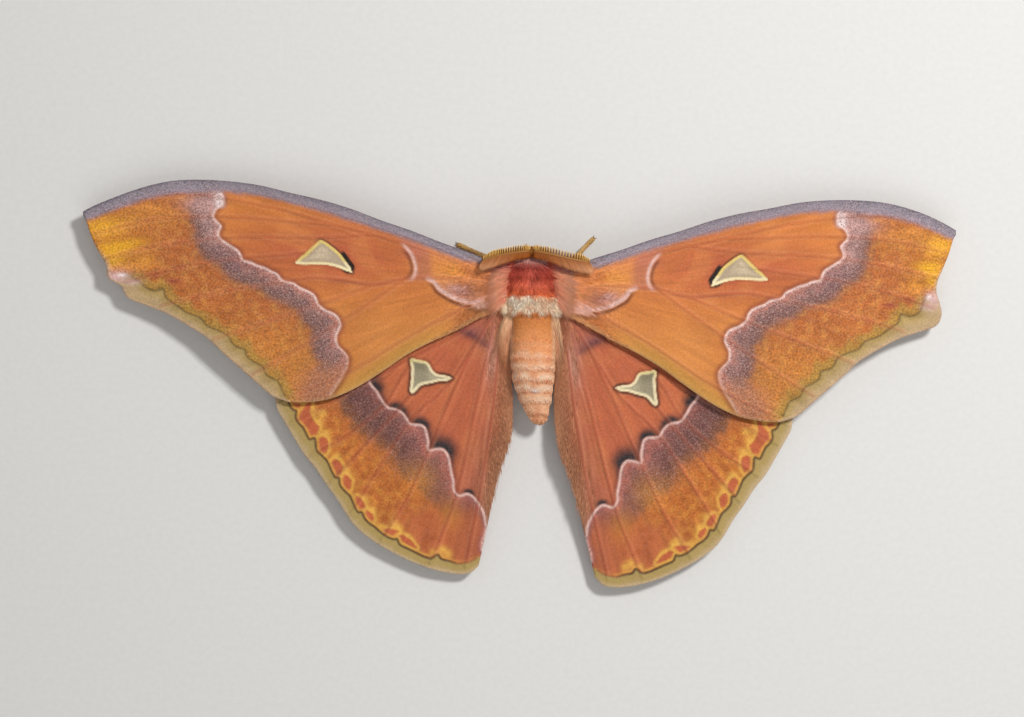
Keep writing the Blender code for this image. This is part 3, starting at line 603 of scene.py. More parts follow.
def paintForewing(x, y, wing, veins):
    middle, margin = fromMarks(x, y, foreMarks, "middle", "margin")
    upperArc, lowerArc = fromMarks(x, y, foreMarks, "upperArc", "lowerArc")
    band = signedDistance(x, y, roundLine(foreMarks["band"], 2))
    costa, outer, inner = fromEdges(x, y, wing, "costa", "outer", "inner")
    stem = fromEdges(x, y, foreMarks, "stem")[0]
    mark = shapeDistance(x, y, roundLine(foreMarks["triangle"] + foreMarks["triangle"][:1], 3))
    soft = mottle(x, y, 5.0, 1.7)
    patchy = mottle(x, y, 1.7, 5.1)
    hairs = streaks(x, y, wing["hinge"], 9.3)
    tint = np.tile(colour("#CC7A3A"), (len(x), 1))
    grain = np.full(len(x), 0.05)
    rough = np.full(len(x), 0.2)
    brush(tint, "#B4583A", 0.95 * hump(x, 40.0, 19.0) * hump(y, 5.5, 6.5))
    brush(tint, "#C98240", 0.5 * smooth(-y, -1.0, 9.0))
    brush(tint, "#D88C4A", 0.3 * smooth(soft, 0.0, 0.5))
    brush(tint, "#B46634", 0.3 * smooth(-soft, 0.05, 0.5))
    brush(tint, "#B0603A", 0.4 * hump(x, 14.0, 4.0) * hump(y, -6.5, 2.5))
    brush(tint, "#B88A3E", 0.75 * smooth(-inner, -4.4, -0.4) * smooth(x, 12.0, 26.0))
    # base of the wing inside the two arcs
    basal = smooth(-x, -24.5, -22.5) * smooth(-lowerArc, -0.2, 0.4)
    brush(tint, "#DC8C4E", 0.7 * basal)
    behind = smooth(-upperArc, 0.0, 0.6) * smooth(upperArc, -4.6, -2.6)
    brush(tint, "#B0684C", 0.85 * behind * smooth(y, 0.0, 1.5))
    brush(tint, "#C07058", 0.6 * hump(x, 22.5, 2.6) * hump(y, 6.6, 1.4))
    brush(tint, "#CC8430", 0.6 * hump(x, 15.5, 4.0) * hump(y, 2.9, 1.5))
    brush(tint, "#B47C74", 0.85 * hump(x, 13.6, 4.4) * hump(y, -1.3, 1.5) * smooth(-lowerArc, -0.1, 0.3))
    brush(tint, "#D0A49C", 0.5 * hump(x, 13.4, 3.6) * hump(y, -0.6, 0.9) * smooth(patchy, -0.1, 0.4))
    grain = np.maximum(grain, 0.8 * hump(x, 13.5, 5.4) * hump(y, -0.9, 2.0) * smooth(-lowerArc, -0.2, 0.2))
    rough = np.maximum(rough, 0.5 * smooth(-x, -25.0, -12.0))
    wide = 0.55 + 0.75 * smooth(-x, -15.0, -8.0)
    paleArc = hump(lowerArc, -0.7 * wide, wide) * smooth(-lowerArc, -0.1, 0.1)
    brush(tint, "#DCB4AA", 0.9 * paleArc * smooth(-x, -21.5, -20.0))
    darkArc = hump(lowerArc, 0.38, 0.42) * smooth(lowerArc, -0.05, 0.1)
    brush(tint, "#5E2E20", 0.8 * darkArc * smooth(-x, -21.0, -19.0))
    brush(tint, "#E2B8AC", 0.9 * hump(upperArc, -0.4, 0.34) * smooth(y, 0.3, 1.2) * smooth(-y, -8.6, -7.6))
    brush(tint, "#6E3424", 0.75 * hump(upperArc, 0.35, 0.4) * smooth(y, 0.6, 1.6) * smooth(-y, -7.6, -6.0))
    brush(tint, "#A8583E", 0.45 * hump(stem, 0.0, 0.4) * smooth(x, 24.0, 30.0) * smooth(-x, -50.0, -40.0))
    # beyond the middle line
    beyond = smooth(middle, 0.0, 0.3)
    near = 1.08 + 0.2 * smooth(y, 4.0, 12.0) + 0.25 * hump(y, -4.0, 8.0)
    distal = shade(foreMarks["zones"], middle * near + 1.1 * patchy + 0.6 * hairs)
    tint += (distal - tint) * beyond[:, None]
    brush(tint, "#BC9690", 0.6 * beyond * hump(middle, 1.6, 1.6) * smooth(y, 2.0, 11.0))
    corner = hump(x, 60.0, 4.0) * hump(y, 4.4, 2.4)
    brush(tint, "#6E4C54", 0.55 * beyond * corner * smooth(-middle, -5.0, -3.0))
    brush(tint, "#84605C", 0.5 * beyond * smooth(patchy, 0.0, 0.4) * smooth(-middle, -6.0, -4.0))
    grain = np.maximum(grain, 0.8 * beyond * smooth(-middle * near, -7.5, -4.5))
    far = smooth(middle * near, 5.5, 7.5)
    brush(tint, "#A4521F", 0.35 * far * smooth(patchy, 0.0, 0.35))
    brush(tint, "#D08C40", 0.35 * far * smooth(-patchy, 0.05, 0.4))
    brush(tint, "#C88434", 0.45 * far * smooth(-y, 4.0, 16.0))
    brush(tint, "#D28A38", 0.5 * far * hump(y, 12.6, 2.4) * smooth(x, 66.0, 72.0))
    brush(tint, "#B27044", 0.75 * beyond * smooth(-y, 14.5, 20.0) * smooth(-middle, -9.0, -6.0))
    rough = np.maximum(rough, 0.65 * beyond)
    grain = grain * (1.0 - 0.5 * smooth(-y, 15.0, 20.0) * beyond)
    grain = np.maximum(grain, 0.14 * far)
    brush(tint, "#D8A8A0", 0.6 * hump(x, 65.5, 3.6) * hump(y, 15.3, 1.6) * beyond)
    dab(tint, x, y, foreMarks["apexDabs"])
    # before the middle line
    brush(tint, "#8A442E", 0.7 * smooth(middle, -1.3, -0.2) * smooth(-middle, 0.0, 0.15))
    strength = 0.3 + 0.65 * smooth(y, -17.0, -9.0)
    brush(tint, "#E8CAC2", strength * hump(middle, 0.18, 0.24))
    brush(tint, "#F0DAD6", 0.95 * hump(x, 61.4, 0.9) * smooth(y, 14.2, 15.4) * smooth(-y, -18.4, -17.2))
    # margin
    low = 1.0 - smooth(y, 0.6, 2.6)
    brush(tint, "#A08038", 0.75 * smooth(margin, -3.0 + patchy, -0.6 + patchy) * low)
    brush(tint, "#A88C54", smooth(margin, -0.1, 0.15) * low)
    brush(tint, "#BCA078", 0.75 * smooth(margin, 0.4, 2.2) * low)
    brush(tint, "#5E4A24", 0.75 * hump(margin, 0.0, 0.24) * low)
    rough = rough * (1.0 - 0.6 * smooth(margin, -0.1, 0.15) * low)
    dab(tint, x, y, foreMarks["tipDabs"])
    brush(tint, "#C4A488", 0.8 * smooth(-outer, -0.7, -0.1) * (1.0 - smooth(y, 4.0, 10.0)))
    brush(tint, "#C8A070", 0.55 * smooth(-inner, -0.6, -0.1))
    # costal band
    share = np.clip(band / np.maximum(band + costa, 1e-6), 0.0, 1.0)
    bandTint = shade([(0.0, "#9C7672"), (0.3, "#94848E"), (0.65, "#888088"), (1.0, "#746C76")], share)
    onBand = smooth(band + 0.3 * patchy + 0.3 * hairs, -0.55, 0.75)
    tint += (bandTint - tint) * onBand[:, None]
    grain = np.maximum(grain, 0.5 * onBand)
    rough = np.maximum(rough, 0.3 * onBand)
    # window
    steep = smooth(-(x - 41.0) * 0.75 + (y - 5.0) * 0.65, 0.2, 2.2)
    corner = hump(x, 36.4, 1.7) * hump(y, 4.2, 2.4)
    brush(tint, "#3A2414", (0.15 + 0.55 * steep) * hump(mark, 0.2, 0.24))
    brush(tint, "#20140E", smooth(corner, 0.25, 0.5) * smooth(-mark, -1.1, -0.75))
    brush(tint, "#DCC270", smooth(-mark, -0.05, 0.1))
    brush(tint, "#EEDDB0", smooth(-mark, -0.05, 0.1) * smooth(-y, -4.8, -3.4))
    brush(tint, "#AE9A80", smooth(-mark, 0.4, 0.75))
    brush(tint, "#D0BC9C", 0.7 * smooth(-mark, 0.7, 1.6) * smooth(x, 38.0, 42.0))
    grain = grain * smooth(mark, -0.2, 0.1) + 0.04
    # veins and hair streaks
    off = smooth(mark, 0.0, 0.4)
    brush(tint, "#B4583C", 0.3 * hump(veins, 0.0, 0.3) * off * (1.0 - onBand))
    brush(tint, "#E0A078", 0.16 * hump(veins, 0.45, 0.2) * off * (1.0 - onBand))
    tint *= (1.0 + (0.16 + 0.24 * smooth(-x, -24.0, -10.0)) * hairs * off)[:, None]
    return tint, grain, rough


# hindwing pattern

hindMarks = {
    "middle": [(30.4, -14.6), (32.0, -16.9), (33.1, -18.7), (33.7, -19.8), (33.3, -20.8), (32.4, -21.9),
               (31.8, -23.1), (31.1, -24.3), (30.3, -25.2), (29.1, -25.4), (28.1, -25.8), (27.3, -26.5),
               (26.8, -27.3), (26.2, -28.3), (25.2, -28.5), (24.0, -28.6), (23.2, -29.2), (22.9, -30.4),
               (22.7, -32.0), (22.8, -33.6), (22.0, -33.5), (20.8, -33.3), (19.8, -33.5), (19.0, -34.6),
               (18.7, -36.2), (18.5, -38.2), (18.2, -40.0), (18.3, -41.6), (17.5, -42.8), (16.3, -42.5),
               (15.3, -42.5), (14.3, -43.3), (13.4, -44.6), (12.6, -46.4), (12.3, -48.6), (12.4, -50.4),
               (13.2, -52.4), (13.4, -54.0)],
    "margin": [(50.9, -23.0), (50.5, -24.5), (50.1, -25.7), (49.5, -26.3), (49.0, -26.5), (49.2, -27.9),
               (48.6, -29.1), (47.9, -29.9), (47.3, -31.2), (46.8, -32.2), (45.7, -32.0), (45.6, -33.4),
               (45.4, -34.6), (44.5, -35.5), (43.5, -36.7), (43.0, -38.1), (42.2, -39.8), (41.4, -40.0),
               (41.3, -41.4), (40.5, -42.6), (39.5, -43.6), (38.8, -45.3), (38.1, -46.9), (37.3, -46.9),
               (36.9, -48.1), (35.9, -49.2), (35.0, -49.8), (33.8, -50.9), (32.4, -51.9), (31.2, -52.3),
               (30.6, -52.2), (30.1, -53.4), (28.5, -54.2), (26.7, -55.1), (25.4, -55.7), (24.0, -56.0),
               (22.7, -55.2), (22.0, -56.1), (20.4, -56.5), (18.8, -57.0), (16.6, -56.7), (15.0, -55.9)],
    "triangle": [(17.1, -19.0), (17.7, -18.6), (19.1, -18.3), (20.2, -18.1), (21.0, -17.3), (21.4, -16.3),
                 (22.2, -15.6), (23.6, -15.4), (24.9, -15.1), (25.4, -15.7), (25.2, -16.9), (25.3, -18.3),
                 (25.5, -19.9), (25.8, -21.7), (25.4, -22.3), (24.6, -21.8), (23.7, -20.8), (22.7, -20.4),
                 (21.3, -20.1), (19.9, -19.7), (18.3, -19.6)],
    "base": [(10.6, -12.0), (12.2, -10.8), (13.8, -10.1), (15.3, -9.5), (16.9, -8.2)],
    "flames": [(43.5, -30.9), (41.5, -35.8), (39.8, -38.4), (36.6, -44.4), (35.2, -46.4), (30.2, -50.0),
               (28.6, -52.0), (43.8, -26.9), (45.6, -26.4), (48.9, -25.7), (33.6, -49.9),
               (21.6, -54.2), (20.6, -55.0), (23.4, -55.0), (31.0, -49.2), (40.0, -40.0), (44.6, -28.6)],
    "spots": [
        [(45.9, -24.4), (48.3, -25.9), (48.6, -28.3), (47.7, -29.6), (46.9, -31.0), (46.1, -31.8),
         (45.3, -31.0), (44.7, -29.7), (45.8, -28.4), (46.4, -26.8)],
        [(44.1, -31.7), (44.9, -32.1), (45.4, -33.2), (45.0, -34.4), (44.3, -35.3), (43.6, -34.7),
         (43.2, -33.3), (43.3, -32.1)],
        [(41.9, -36.2), (42.7, -36.9), (42.6, -38.1), (41.8, -39.6), (41.0, -39.0), (40.5, -37.8),
         (41.1, -36.6)],
        [(40.2, -39.4), (40.8, -40.4), (40.7, -41.6), (39.9, -42.6), (39.3, -41.9), (39.0, -40.5),
         (39.6, -39.6)],
        [(38.1, -43.7), (38.6, -44.7), (38.0, -45.9), (37.3, -46.7), (36.6, -45.9), (36.8, -44.9),
         (37.4, -44.1)],
        [(36.2, -46.6), (36.9, -47.1), (36.5, -48.4), (35.7, -48.8), (35.1, -48.2), (35.3, -47.2)],
        [(30.2, -50.6), (31.2, -50.3), (33.6, -50.3), (33.0, -51.3), (31.6, -51.7), (30.6, -51.4)],
        [(29.4, -51.4), (30.2, -51.6), (29.7, -52.6), (28.1, -53.5), (26.9, -53.9), (28.0, -52.3)],
        [(47.9, -25.1), (49.9, -24.9), (49.5, -25.9), (48.5, -25.9)]],
    "zones": [(0.3, "#AC6456"), (1.5, "#9A5A50"), (2.8, "#7E4C44"), (5.2, "#6E443C"), (7.2, "#84502F"),
              (9.2, "#B4662D"), (14.0, "#B76A2B")],
    "smudges": [(32.2, -20.3, 2.0), (28.3, -25.3, 1.6), (23.9, -28.2, 1.7), (19.5, -32.8, 2.8),
                (15.4, -42.3, 1.0)],
}


def paintHindwing(x, y, wing, veins):
    middle, margin, base = fromMarks(x, y, hindMarks, "middle", "margin", "base")
    outer, inner = fromEdges(x, y, wing, "outer", "inner")
    mark = shapeDistance(x, y, roundLine(hindMarks["triangle"] + hindMarks["triangle"][:1], 3))
    soft = mottle(x, y, 5.0, 3.3)
    patchy = mottle(x, y, 1.6, 7.9)
    hairs = streaks(x, y, (3.0, 4.0), 6.1)
    tint = np.tile(colour("#B8603E"), (len(x), 1))
    grain = np.full(len(x), 0.06)
    rough = np.full(len(x), 0.22)
    brush(tint, "#C07042", 0.5 * smooth(soft, 0.0, 0.5))
    brush(tint, "#A4543C", 0.4 * smooth(-soft, 0.0, 0.5))
    brush(tint, "#C86E40", 0.5 * hump(x, 26.0, 6.0) * hump(y, -20.0, 7.0))
    nearBody = smooth(-inner, -9.0, -0.5)
    brush(tint, "#A4644A", 0.75 * nearBody)
    brush(tint, "#BE846A", 0.4 * nearBody * smooth(hairs, 0.05, 0.45))
    brush(tint, "#8A4A34", 0.35 * nearBody * smooth(-hairs, 0.1, 0.5))
    brush(tint, "#94563E", 0.45 * nearBody * smooth(-y, 26.0, 33.0) * smooth(y, -52.0, -44.0))
    brush(tint, "#B07E5C", 0.7 * smooth(-inner, -3.4, -0.2) * smooth(-y, 6.0, 14.0))
    brush(tint, "#A45844", 0.6 * hump(x, 9.6, 2.4) * hump(y, -8.0, 4.5))
    brush(tint, "#D4A898", 0.5 * hump(x + 0.12 * y, 7.0, 1.1) * hump(y, -13.7, 5.0) * (1.0 + hairs))
    brush(tint, "#8E5450", 0.75 * smooth(base, 0.0, 0.5) * smooth(-base, -4.0, -1.0) * hump(x, 13.0, 5.0))
    brush(tint, "#5A3034", 0.75 * hump(base, 0.3, 0.9) * hump(x, 12.6, 4.0))
    # beyond the middle line
    beyond = smooth(middle, 0.0, 0.3)
    narrow = 1.0 + 0.5 * smooth(-y, 38.0, 48.0)
    distal = shade(hindMarks["zones"], middle * narrow + 1.3 * patchy + 0.8 * hairs)
    tint += (distal - tint) * beyond[:, None]
    brush(tint, "#8C5A54", 0.5 * beyond * smooth(patchy, 0.0, 0.4) * smooth(-middle * narrow, -9.0, -6.0))
    grain = np.maximum(grain, 0.4 * beyond * smooth(-middle * narrow, -11.0, -7.0) * smooth(y, -48.0, -38.0))
    plain = beyond * smooth(-y, 42.0, 49.0) * smooth(-x, -35.0, -25.0)
    brush(tint, "#B4603A", 0.85 * plain * smooth(middle, 0.4, 1.6))
    brush(tint, "#5C3A36", 0.5 * beyond * smooth(-middle, -7.0, -3.5) * smooth(x, 25.0, 31.0))
    far = smooth(middle * narrow, 8.5, 11.5)
    brush(tint, "#A04E22", 0.4 * far * smooth(patchy, 0.0, 0.35))
    brush(tint, "#CC8838", 0.45 * far * smooth(-patchy, 0.0, 0.4) * (1.0 - plain))
    brush(tint, "#CC8434", 0.6 * hump(x, 25.0, 3.4) * hump(y, -39.5, 3.4) * beyond)
    brush(tint, "#CC8434", 0.5 * hump(x, 19.5, 2.2) * hump(y, -46.5, 3.4) * beyond)
    rough = np.maximum(rough, 0.5 * beyond * (1.0 - 0.75 * plain) * (1.0 - 0.6 * smooth(margin, -4.5, -2.5)))
    # red spots in yellow frames before the margin
    for sx, sy in hindMarks["flames"]:
        flame = np.exp(-((x - sx) ** 2 + (y - sy) ** 2) / 0.8)
        brush(tint, "#DCA448", 0.9 * flame * smooth(-margin, 0.1, 0.5))
    for spot in hindMarks["spots"]:
        distance = shapeDistance(x, y, np.array(spot))
        brush(tint, "#DCA448", 0.85 * hump(distance, 0.45, 0.36))
        brush(tint, "#B85C36", smooth(-distance, -0.25, 0.1))
    # smudge, white line and margin
    before = smooth(-middle, 0.0, 0.2)
    brush(tint, "#4A2C28", 0.7 * smooth(middle, -1.3, -0.2) * before * smooth(y, -44.0, -34.0))
    brush(tint, "#7E4034", 0.4 * smooth(middle, -1.2, -0.2) * before)
    for sx, sy, reach in hindMarks["smudges"]:
        away = np.exp(-((x - sx) ** 2 + (y - sy) ** 2) / reach ** 2)
        brush(tint, "#2C2628", np.minimum(1.0, 1.5 * away) * smooth(middle, -1.6 * reach, -0.4) * before)
    brush(tint, "#E2C2B8", 0.85 * hump(middle, 0.2, 0.25))
    edge = smooth(margin, -0.1, 0.15)
    brush(tint, "#AA9056", edge)
    brush(tint, "#BCA27A", 0.75 * smooth(margin, 1.0, 2.4))
    fade = 1.0 - 0.75 * smooth(-x, -22.0, -17.0)
    brush(tint, "#D8A048", 0.8 * hump(margin, -0.45, 0.3) * fade)
    brush(tint, "#3A2A1A", 0.92 * hump(margin, 0.0, 0.27) * fade)
    brush(tint, "#CDB494", 0.8 * smooth(-outer, -0.6, -0.1))
    grain = grain * (1.0 - edge) + 0.05 * edge
    rough = rough * (1.0 - edge) + 0.12 * edge
    # window
    dark = 0.3 + 0.6 * smooth(-(x - 22.8) * 0.4 - (y + 18.6) * 0.9, -0.5, 1.5)
    dark = np.maximum(dark, 0.85 * smooth(-(x - 21.0) * 0.8 + (y + 17.5) * 0.7, 0.2, 1.5))
    dark = np.maximum(dark, 0.85 * smooth(x, 24.4, 25.4))
    brush(tint, "#281C14", dark * hump(mark, 0.24, 0.3))
    brush(tint, "#E6D6AC", smooth(-mark, -0.05, 0.12))
    brush(tint, "#D2C078", 0.7 * smooth(-mark, -0.05, 0.12) * smooth(y, -17.0, -15.6))
    brush(tint, "#948A70", smooth(-mark, 0.4, 0.75))
    brush(tint, "#6E664E", 0.6 * smooth(-mark, 0.5, 1.0) * smooth(y, -18.4, -16.4))
    brush(tint, "#C8BA9A", 0.7 * smooth(-mark, 0.5, 1.1) * smooth(-x, -23.0, -20.0))
    off = smooth(mark, 0.0, 0.4)
    grain = grain * off + 0.04
    brush(tint, "#A04430", 0.4 * hump(veins, 0.0, 0.28) * off * (1.0 - edge))
    brush(tint, "#D89870", 0.15 * hump(veins, 0.45, 0.2) * off * (1.0 - edge))
    tint *= (1.0 + 0.2 * hairs * off * (1.0 - edge))[:, None]
    return tint, grain, rough


# body

body = {
    "line": [(-0.6, 10.6), (-0.55, 5.6), (-0.4, 1.0), (-0.25, -3.0), (0.2, -8.0), (0.45, -14.0), (0.8, -19.0),
             (1.4, -23.0), (2.5, -28.2)],
    # place along the body, half width, reach up, reach down, height of the middle
    "stations": [(8.5, 0.05, 0.05, 0.05, 7.2), (8.35, 0.9, 0.8, 0.9, 7.2), (8.0, 1.6, 1.4, 1.6, 7.3),
                 (7.5, 2.1, 1.9, 2.1, 7.3), (7.0, 2.4, 2.2, 2.4, 7.4), (6.4, 2.7, 2.5, 2.6, 7.5),
                 (5.2, 3.7, 3.4, 3.6, 7.8), (3.4, 4.8, 4.3, 4.4, 7.8), (1.2, 5.3, 4.6, 4.6, 7.8),
                 (-1.2, 5.4, 4.7, 4.6, 7.8), (-3.4, 5.1, 4.4, 4.5, 7.8), (-5.2, 4.6, 4.2, 4.1, 7.7),
                 (-6.9, 4.3, 4.0, 4.0, 7.6), (-9.5, 4.5, 4.2, 4.1, 7.4), (-13.5, 4.5, 4.2, 4.1, 7.1),
                 (-18.0, 4.1, 3.8, 3.7, 6.6), (-21.5, 3.3, 3.0, 2.9, 6.0), (-24.2, 2.4, 2.2, 2.2, 5.6),
                 (-25.2, 2.0, 1.8, 1.8, 5.4), (-25.9, 1.5, 1.4, 1.4, 5.3), (-26.3, 1.0, 0.9, 0.9, 5.2),
                 (-26.5, 0.05, 0.05, 0.05, 5.2)],
    "firstRing": -6.9, "ringStep": 2.25, "ringSwell": 0.03, "squareness": 2.2, "turns": (88, 150),
    # painted shade: the skin seen between the locks is darkened as if shaded by the coat
    "shadeUnderCoat": 0.8,  # how much darker the skin is than its coat
}


def bodyAt(y, column):
    rows = np.array(body["stations"])[::-1]
    return np.interp(y, rows[:, 0], rows[:, column])


def bodyLine(y):
    rows = np.array(body["line"])[::-1]
    return np.interp(y, rows[:, 1], rows[:, 0])


def acrossBody(place):
    return place[:, 0] - bodyLine(place[:, 1])


def bodyTint(x, y, z):
    across = x - bodyLine(y)
    side = np.abs(across) / np.maximum(bodyAt(y, 1), 0.5)
    top = (z - bodyAt(y, 4)) / np.maximum(bodyAt(y, 2), 0.5)
    blotch = mottle(x + z, y, 1.6, 4.4)
    # abdomen
    tint = shade([(-27.0, "#FFB888"), (-22.0, "#FFC296"), (-17.0, "#FFBE90"), (-12.0, "#FCAA72"),
                  (-7.0, "#E49050"), (-5.0, "#DE8A4A")], y)
    uneven = mottle(x, y * 0.4, 2.2, 6.1)
    ring = (body["firstRing"] - y + 0.5 * uneven) / body["ringStep"]
    share = ring - np.floor(ring)
    low = smooth(-y, 10.0, 15.0)
    paleRing = hump(share + 0.2 * blotch, 0.7, 0.22) * hump(y, -18.0, 5.0)
    brush(tint, "#FFDCC0", 0.8 * paleRing * smooth(top, 0.1, 0.6))
    brush(tint, "#D8845A", (0.4 + 0.5 * uneven) * hump(share + 0.2 * blotch, 0.05, 0.13) * low)
    brush(tint, "#FFD4B4", 0.4 * smooth(blotch, 0.1, 0.5) * low)
    brush(tint, "#D8825A", 0.35 * smooth(-blotch, 0.1, 0.5))
    brush(tint, "#F4E8E4", 0.9 * hump(x, 1.0, 0.8) * hump(y, -20.0, 0.26) * smooth(top, 0.5, 0.8))
    brush(tint, "#8C6A60", 0.7 * hump(x, 1.2, 0.6) * hump(y, -20.4, 0.12) * smooth(top, 0.5, 0.8))
    brush(tint, "#F0C8A0", 0.8 * smooth(side, 0.8, 0.98) * smooth(y, -18.0, -12.0) * smooth(-y, 4.0, 5.0))
    brush(tint, "#C98A58", 0.5 * smooth(-top, 0.2, 0.8))
    # thorax
    front = smooth(y, -1.7, -1.2)
    chest = shade([(-2.0, "#F08048"), (1.0, "#EC7656"), (3.0, "#D85E4A"), (4.4, "#BE5044"), (5.2, "#BC665A"),
                   (5.9, "#D09C92"), (6.6, "#B0704C"), (7.4, "#A86828"), (10.0, "#9C5C24")], y)
    tint += (chest - tint) * front[:, None]
    brush(tint, "#E07C68", 0.45 * front * hump(across, 0.3, 1.6) * hump(y, 2.4, 2.4))
    brush(tint, "#963428", 0.5 * front * smooth(blotch, 0.0, 0.4) * smooth(-y, -6.0, -4.0))
    # painted shade: a dark patch on the left front of the thorax only, the side turned away from the light
    brush(tint, "#8A3226", 0.75 * front * hump(across, -2.6, 1.8) * hump(y, 4.2, 1.2))
    brush(tint, "#A83C2E", 0.4 * front * hump(np.abs(across), 4.4, 1.0) * hump(y, 2.0, 2.6))
    brush(tint, "#CC8850", 0.7 * front * smooth(-top, 0.1, 0.6))
    # cream band behind the thorax
    wave = 0.35 * np.sin(across * 2.2)
    band = smooth(y, -4.9 + wave, -4.3 + wave) * smooth(-y, 1.2 + wave * 0.5, 1.9 + wave * 0.5)
    band = band * smooth(top, -0.9, -0.3)
    brush(tint, "#FFE0C0", 0.95 * band)
    brush(tint, "#FFECD6", 0.8 * band * smooth(blotch, 0.0, 0.35))
    brush(tint, "#E0B088", 0.5 * band * smooth(-blotch, 0.1, 0.4))
    return tint


def makeSkin(material):
    skin = bmesh.new()
    skin.loops.layers.uv.new("OFBake")
    around, along = body["turns"]
    bmesh.ops.create_uvsphere(skin, u_segments=around, v_segments=along, radius=1.0, calc_uvs=True)
    mesh = bpy.data.meshes.new("bodySkin")
    skin.to_mesh(mesh)
    skin.free()
    ball = coordsOf(mesh)
    low, high = body["stations"][-1][0], body["stations"][0][0]
    y = (low + high) * 0.5 + (high - low) * 0.5 * np.clip(ball[:, 2], -1.0, 1.0)
    angle = np.arctan2(ball[:, 1], ball[:, 0])
    power = 2.0 / body["squareness"]
    c = np.sign(np.cos(angle)) * np.abs(np.cos(angle)) ** power
    s = np.sign(np.sin(angle)) * np.abs(np.sin(angle)) ** power
    ring = (body["firstRing"] - y) / body["ringStep"]
    share = np.clip(ring - np.floor(ring), 0.0, 1.0)
    swell = 1.0 + body["ringSwell"] * (np.sin(math.pi * share ** 1.4) ** 0.7 - 0.5) * smooth(-y, 10.0, 15.0)
    x = bodyLine(y) + bodyAt(y, 1) * c * swell
    z = bodyAt(y, 4) + np.where(s > 0, bodyAt(y, 2), bodyAt(y, 3)) * s * swell
    mesh.vertices.foreach_set("co", np.stack([x, y, z], axis=1).astype(np.float32).ravel())
    mesh.update()
    # The skin's tint is darkened by painted shade from the coat above it
    setAttribute(mesh, "tint", bodyTint(x, y, z) * body["shadeUnderCoat"])
    mendShell(mesh)  # the sphere turned along the body is inside out
    kept = mesh.copy()
    shipPiece("bodySkin", mesh, material, ("head", "thorax", "abdomen"))
    return kept


# A mesh's triangles by their loops, in an order that is the same in each run
def steadyTriangles(mesh, corners):
    starts = np.empty(len(mesh.polygons), np.int32)
    mesh.polygons.foreach_get("loop_start", starts)
    totals = np.empty(len(mesh.polygons), np.int32)
    mesh.polygons.foreach_get("loop_total", totals)
    steps = np.arange(4)
    loops = starts[:, None] + steps % totals[:, None]
    lowest = np.argmin(corners[loops], axis=1)
    loops = starts[:, None] + (steps + lowest[:, None]) % totals[:, None]
    fans = np.concatenate([loops[:, :3], loops[totals > 3][:, (0, 2, 3)]])
    return fans[np.lexsort(corners[fans].T[::-1])]


# Random roots on a mesh, thicker where the weight is high, with their normals and map places
def scatter(mesh, count, weight, rng):
    corners = np.empty(len(mesh.loops), np.int32)
    mesh.loops.foreach_get("vertex_index", corners)
    loops = steadyTriangles(mesh, corners)
    corners = corners[loops]
    coords = coordsOf(mesh)[corners]
    maps = np.empty(len(mesh.loops) * 2, np.float32)
    mesh.uv_layers["OFBake"].data.foreach_get("uv", maps)
    maps = maps.reshape(-1, 2)[loops]
    facing = np.cross(coords[:, 1] - coords[:, 0], coords[:, 2] - coords[:, 0])
    area = np.linalg.norm(facing, axis=1) * 0.5
    centre = coords.mean(axis=1)
    chance = area * weight(centre, unit(facing))
    chosen = rng.choice(len(loops), count, p=chance / chance.sum())
    a, b = rng.random((2, count))
    flip = a + b > 1
    a, b = np.where(flip, 1 - a, a), np.where(flip, 1 - b, b)
    shares = np.stack([1 - a - b, a, b], axis=1)
    place = np.einsum("ij,ijk->ik", shares, coords[chosen])
    patch = np.einsum("ij,ijk->ik", shares, maps[chosen])
    return place, unit(facing)[chosen], patch, corners[chosen, 0]


def ownTint(mesh, rows):
    values = np.empty(len(mesh.vertices) * 4, np.float32)
    mesh.attributes["tint"].data.foreach_get("color", values)
    return values.reshape(-1, 4)[rows, :3].astype(float)


tuftShape = {"rootDepth": 0.15, "bendAt": 0.45, "tipAt": 0.95, "flatness": 0.4, "tipGain": 1.08}


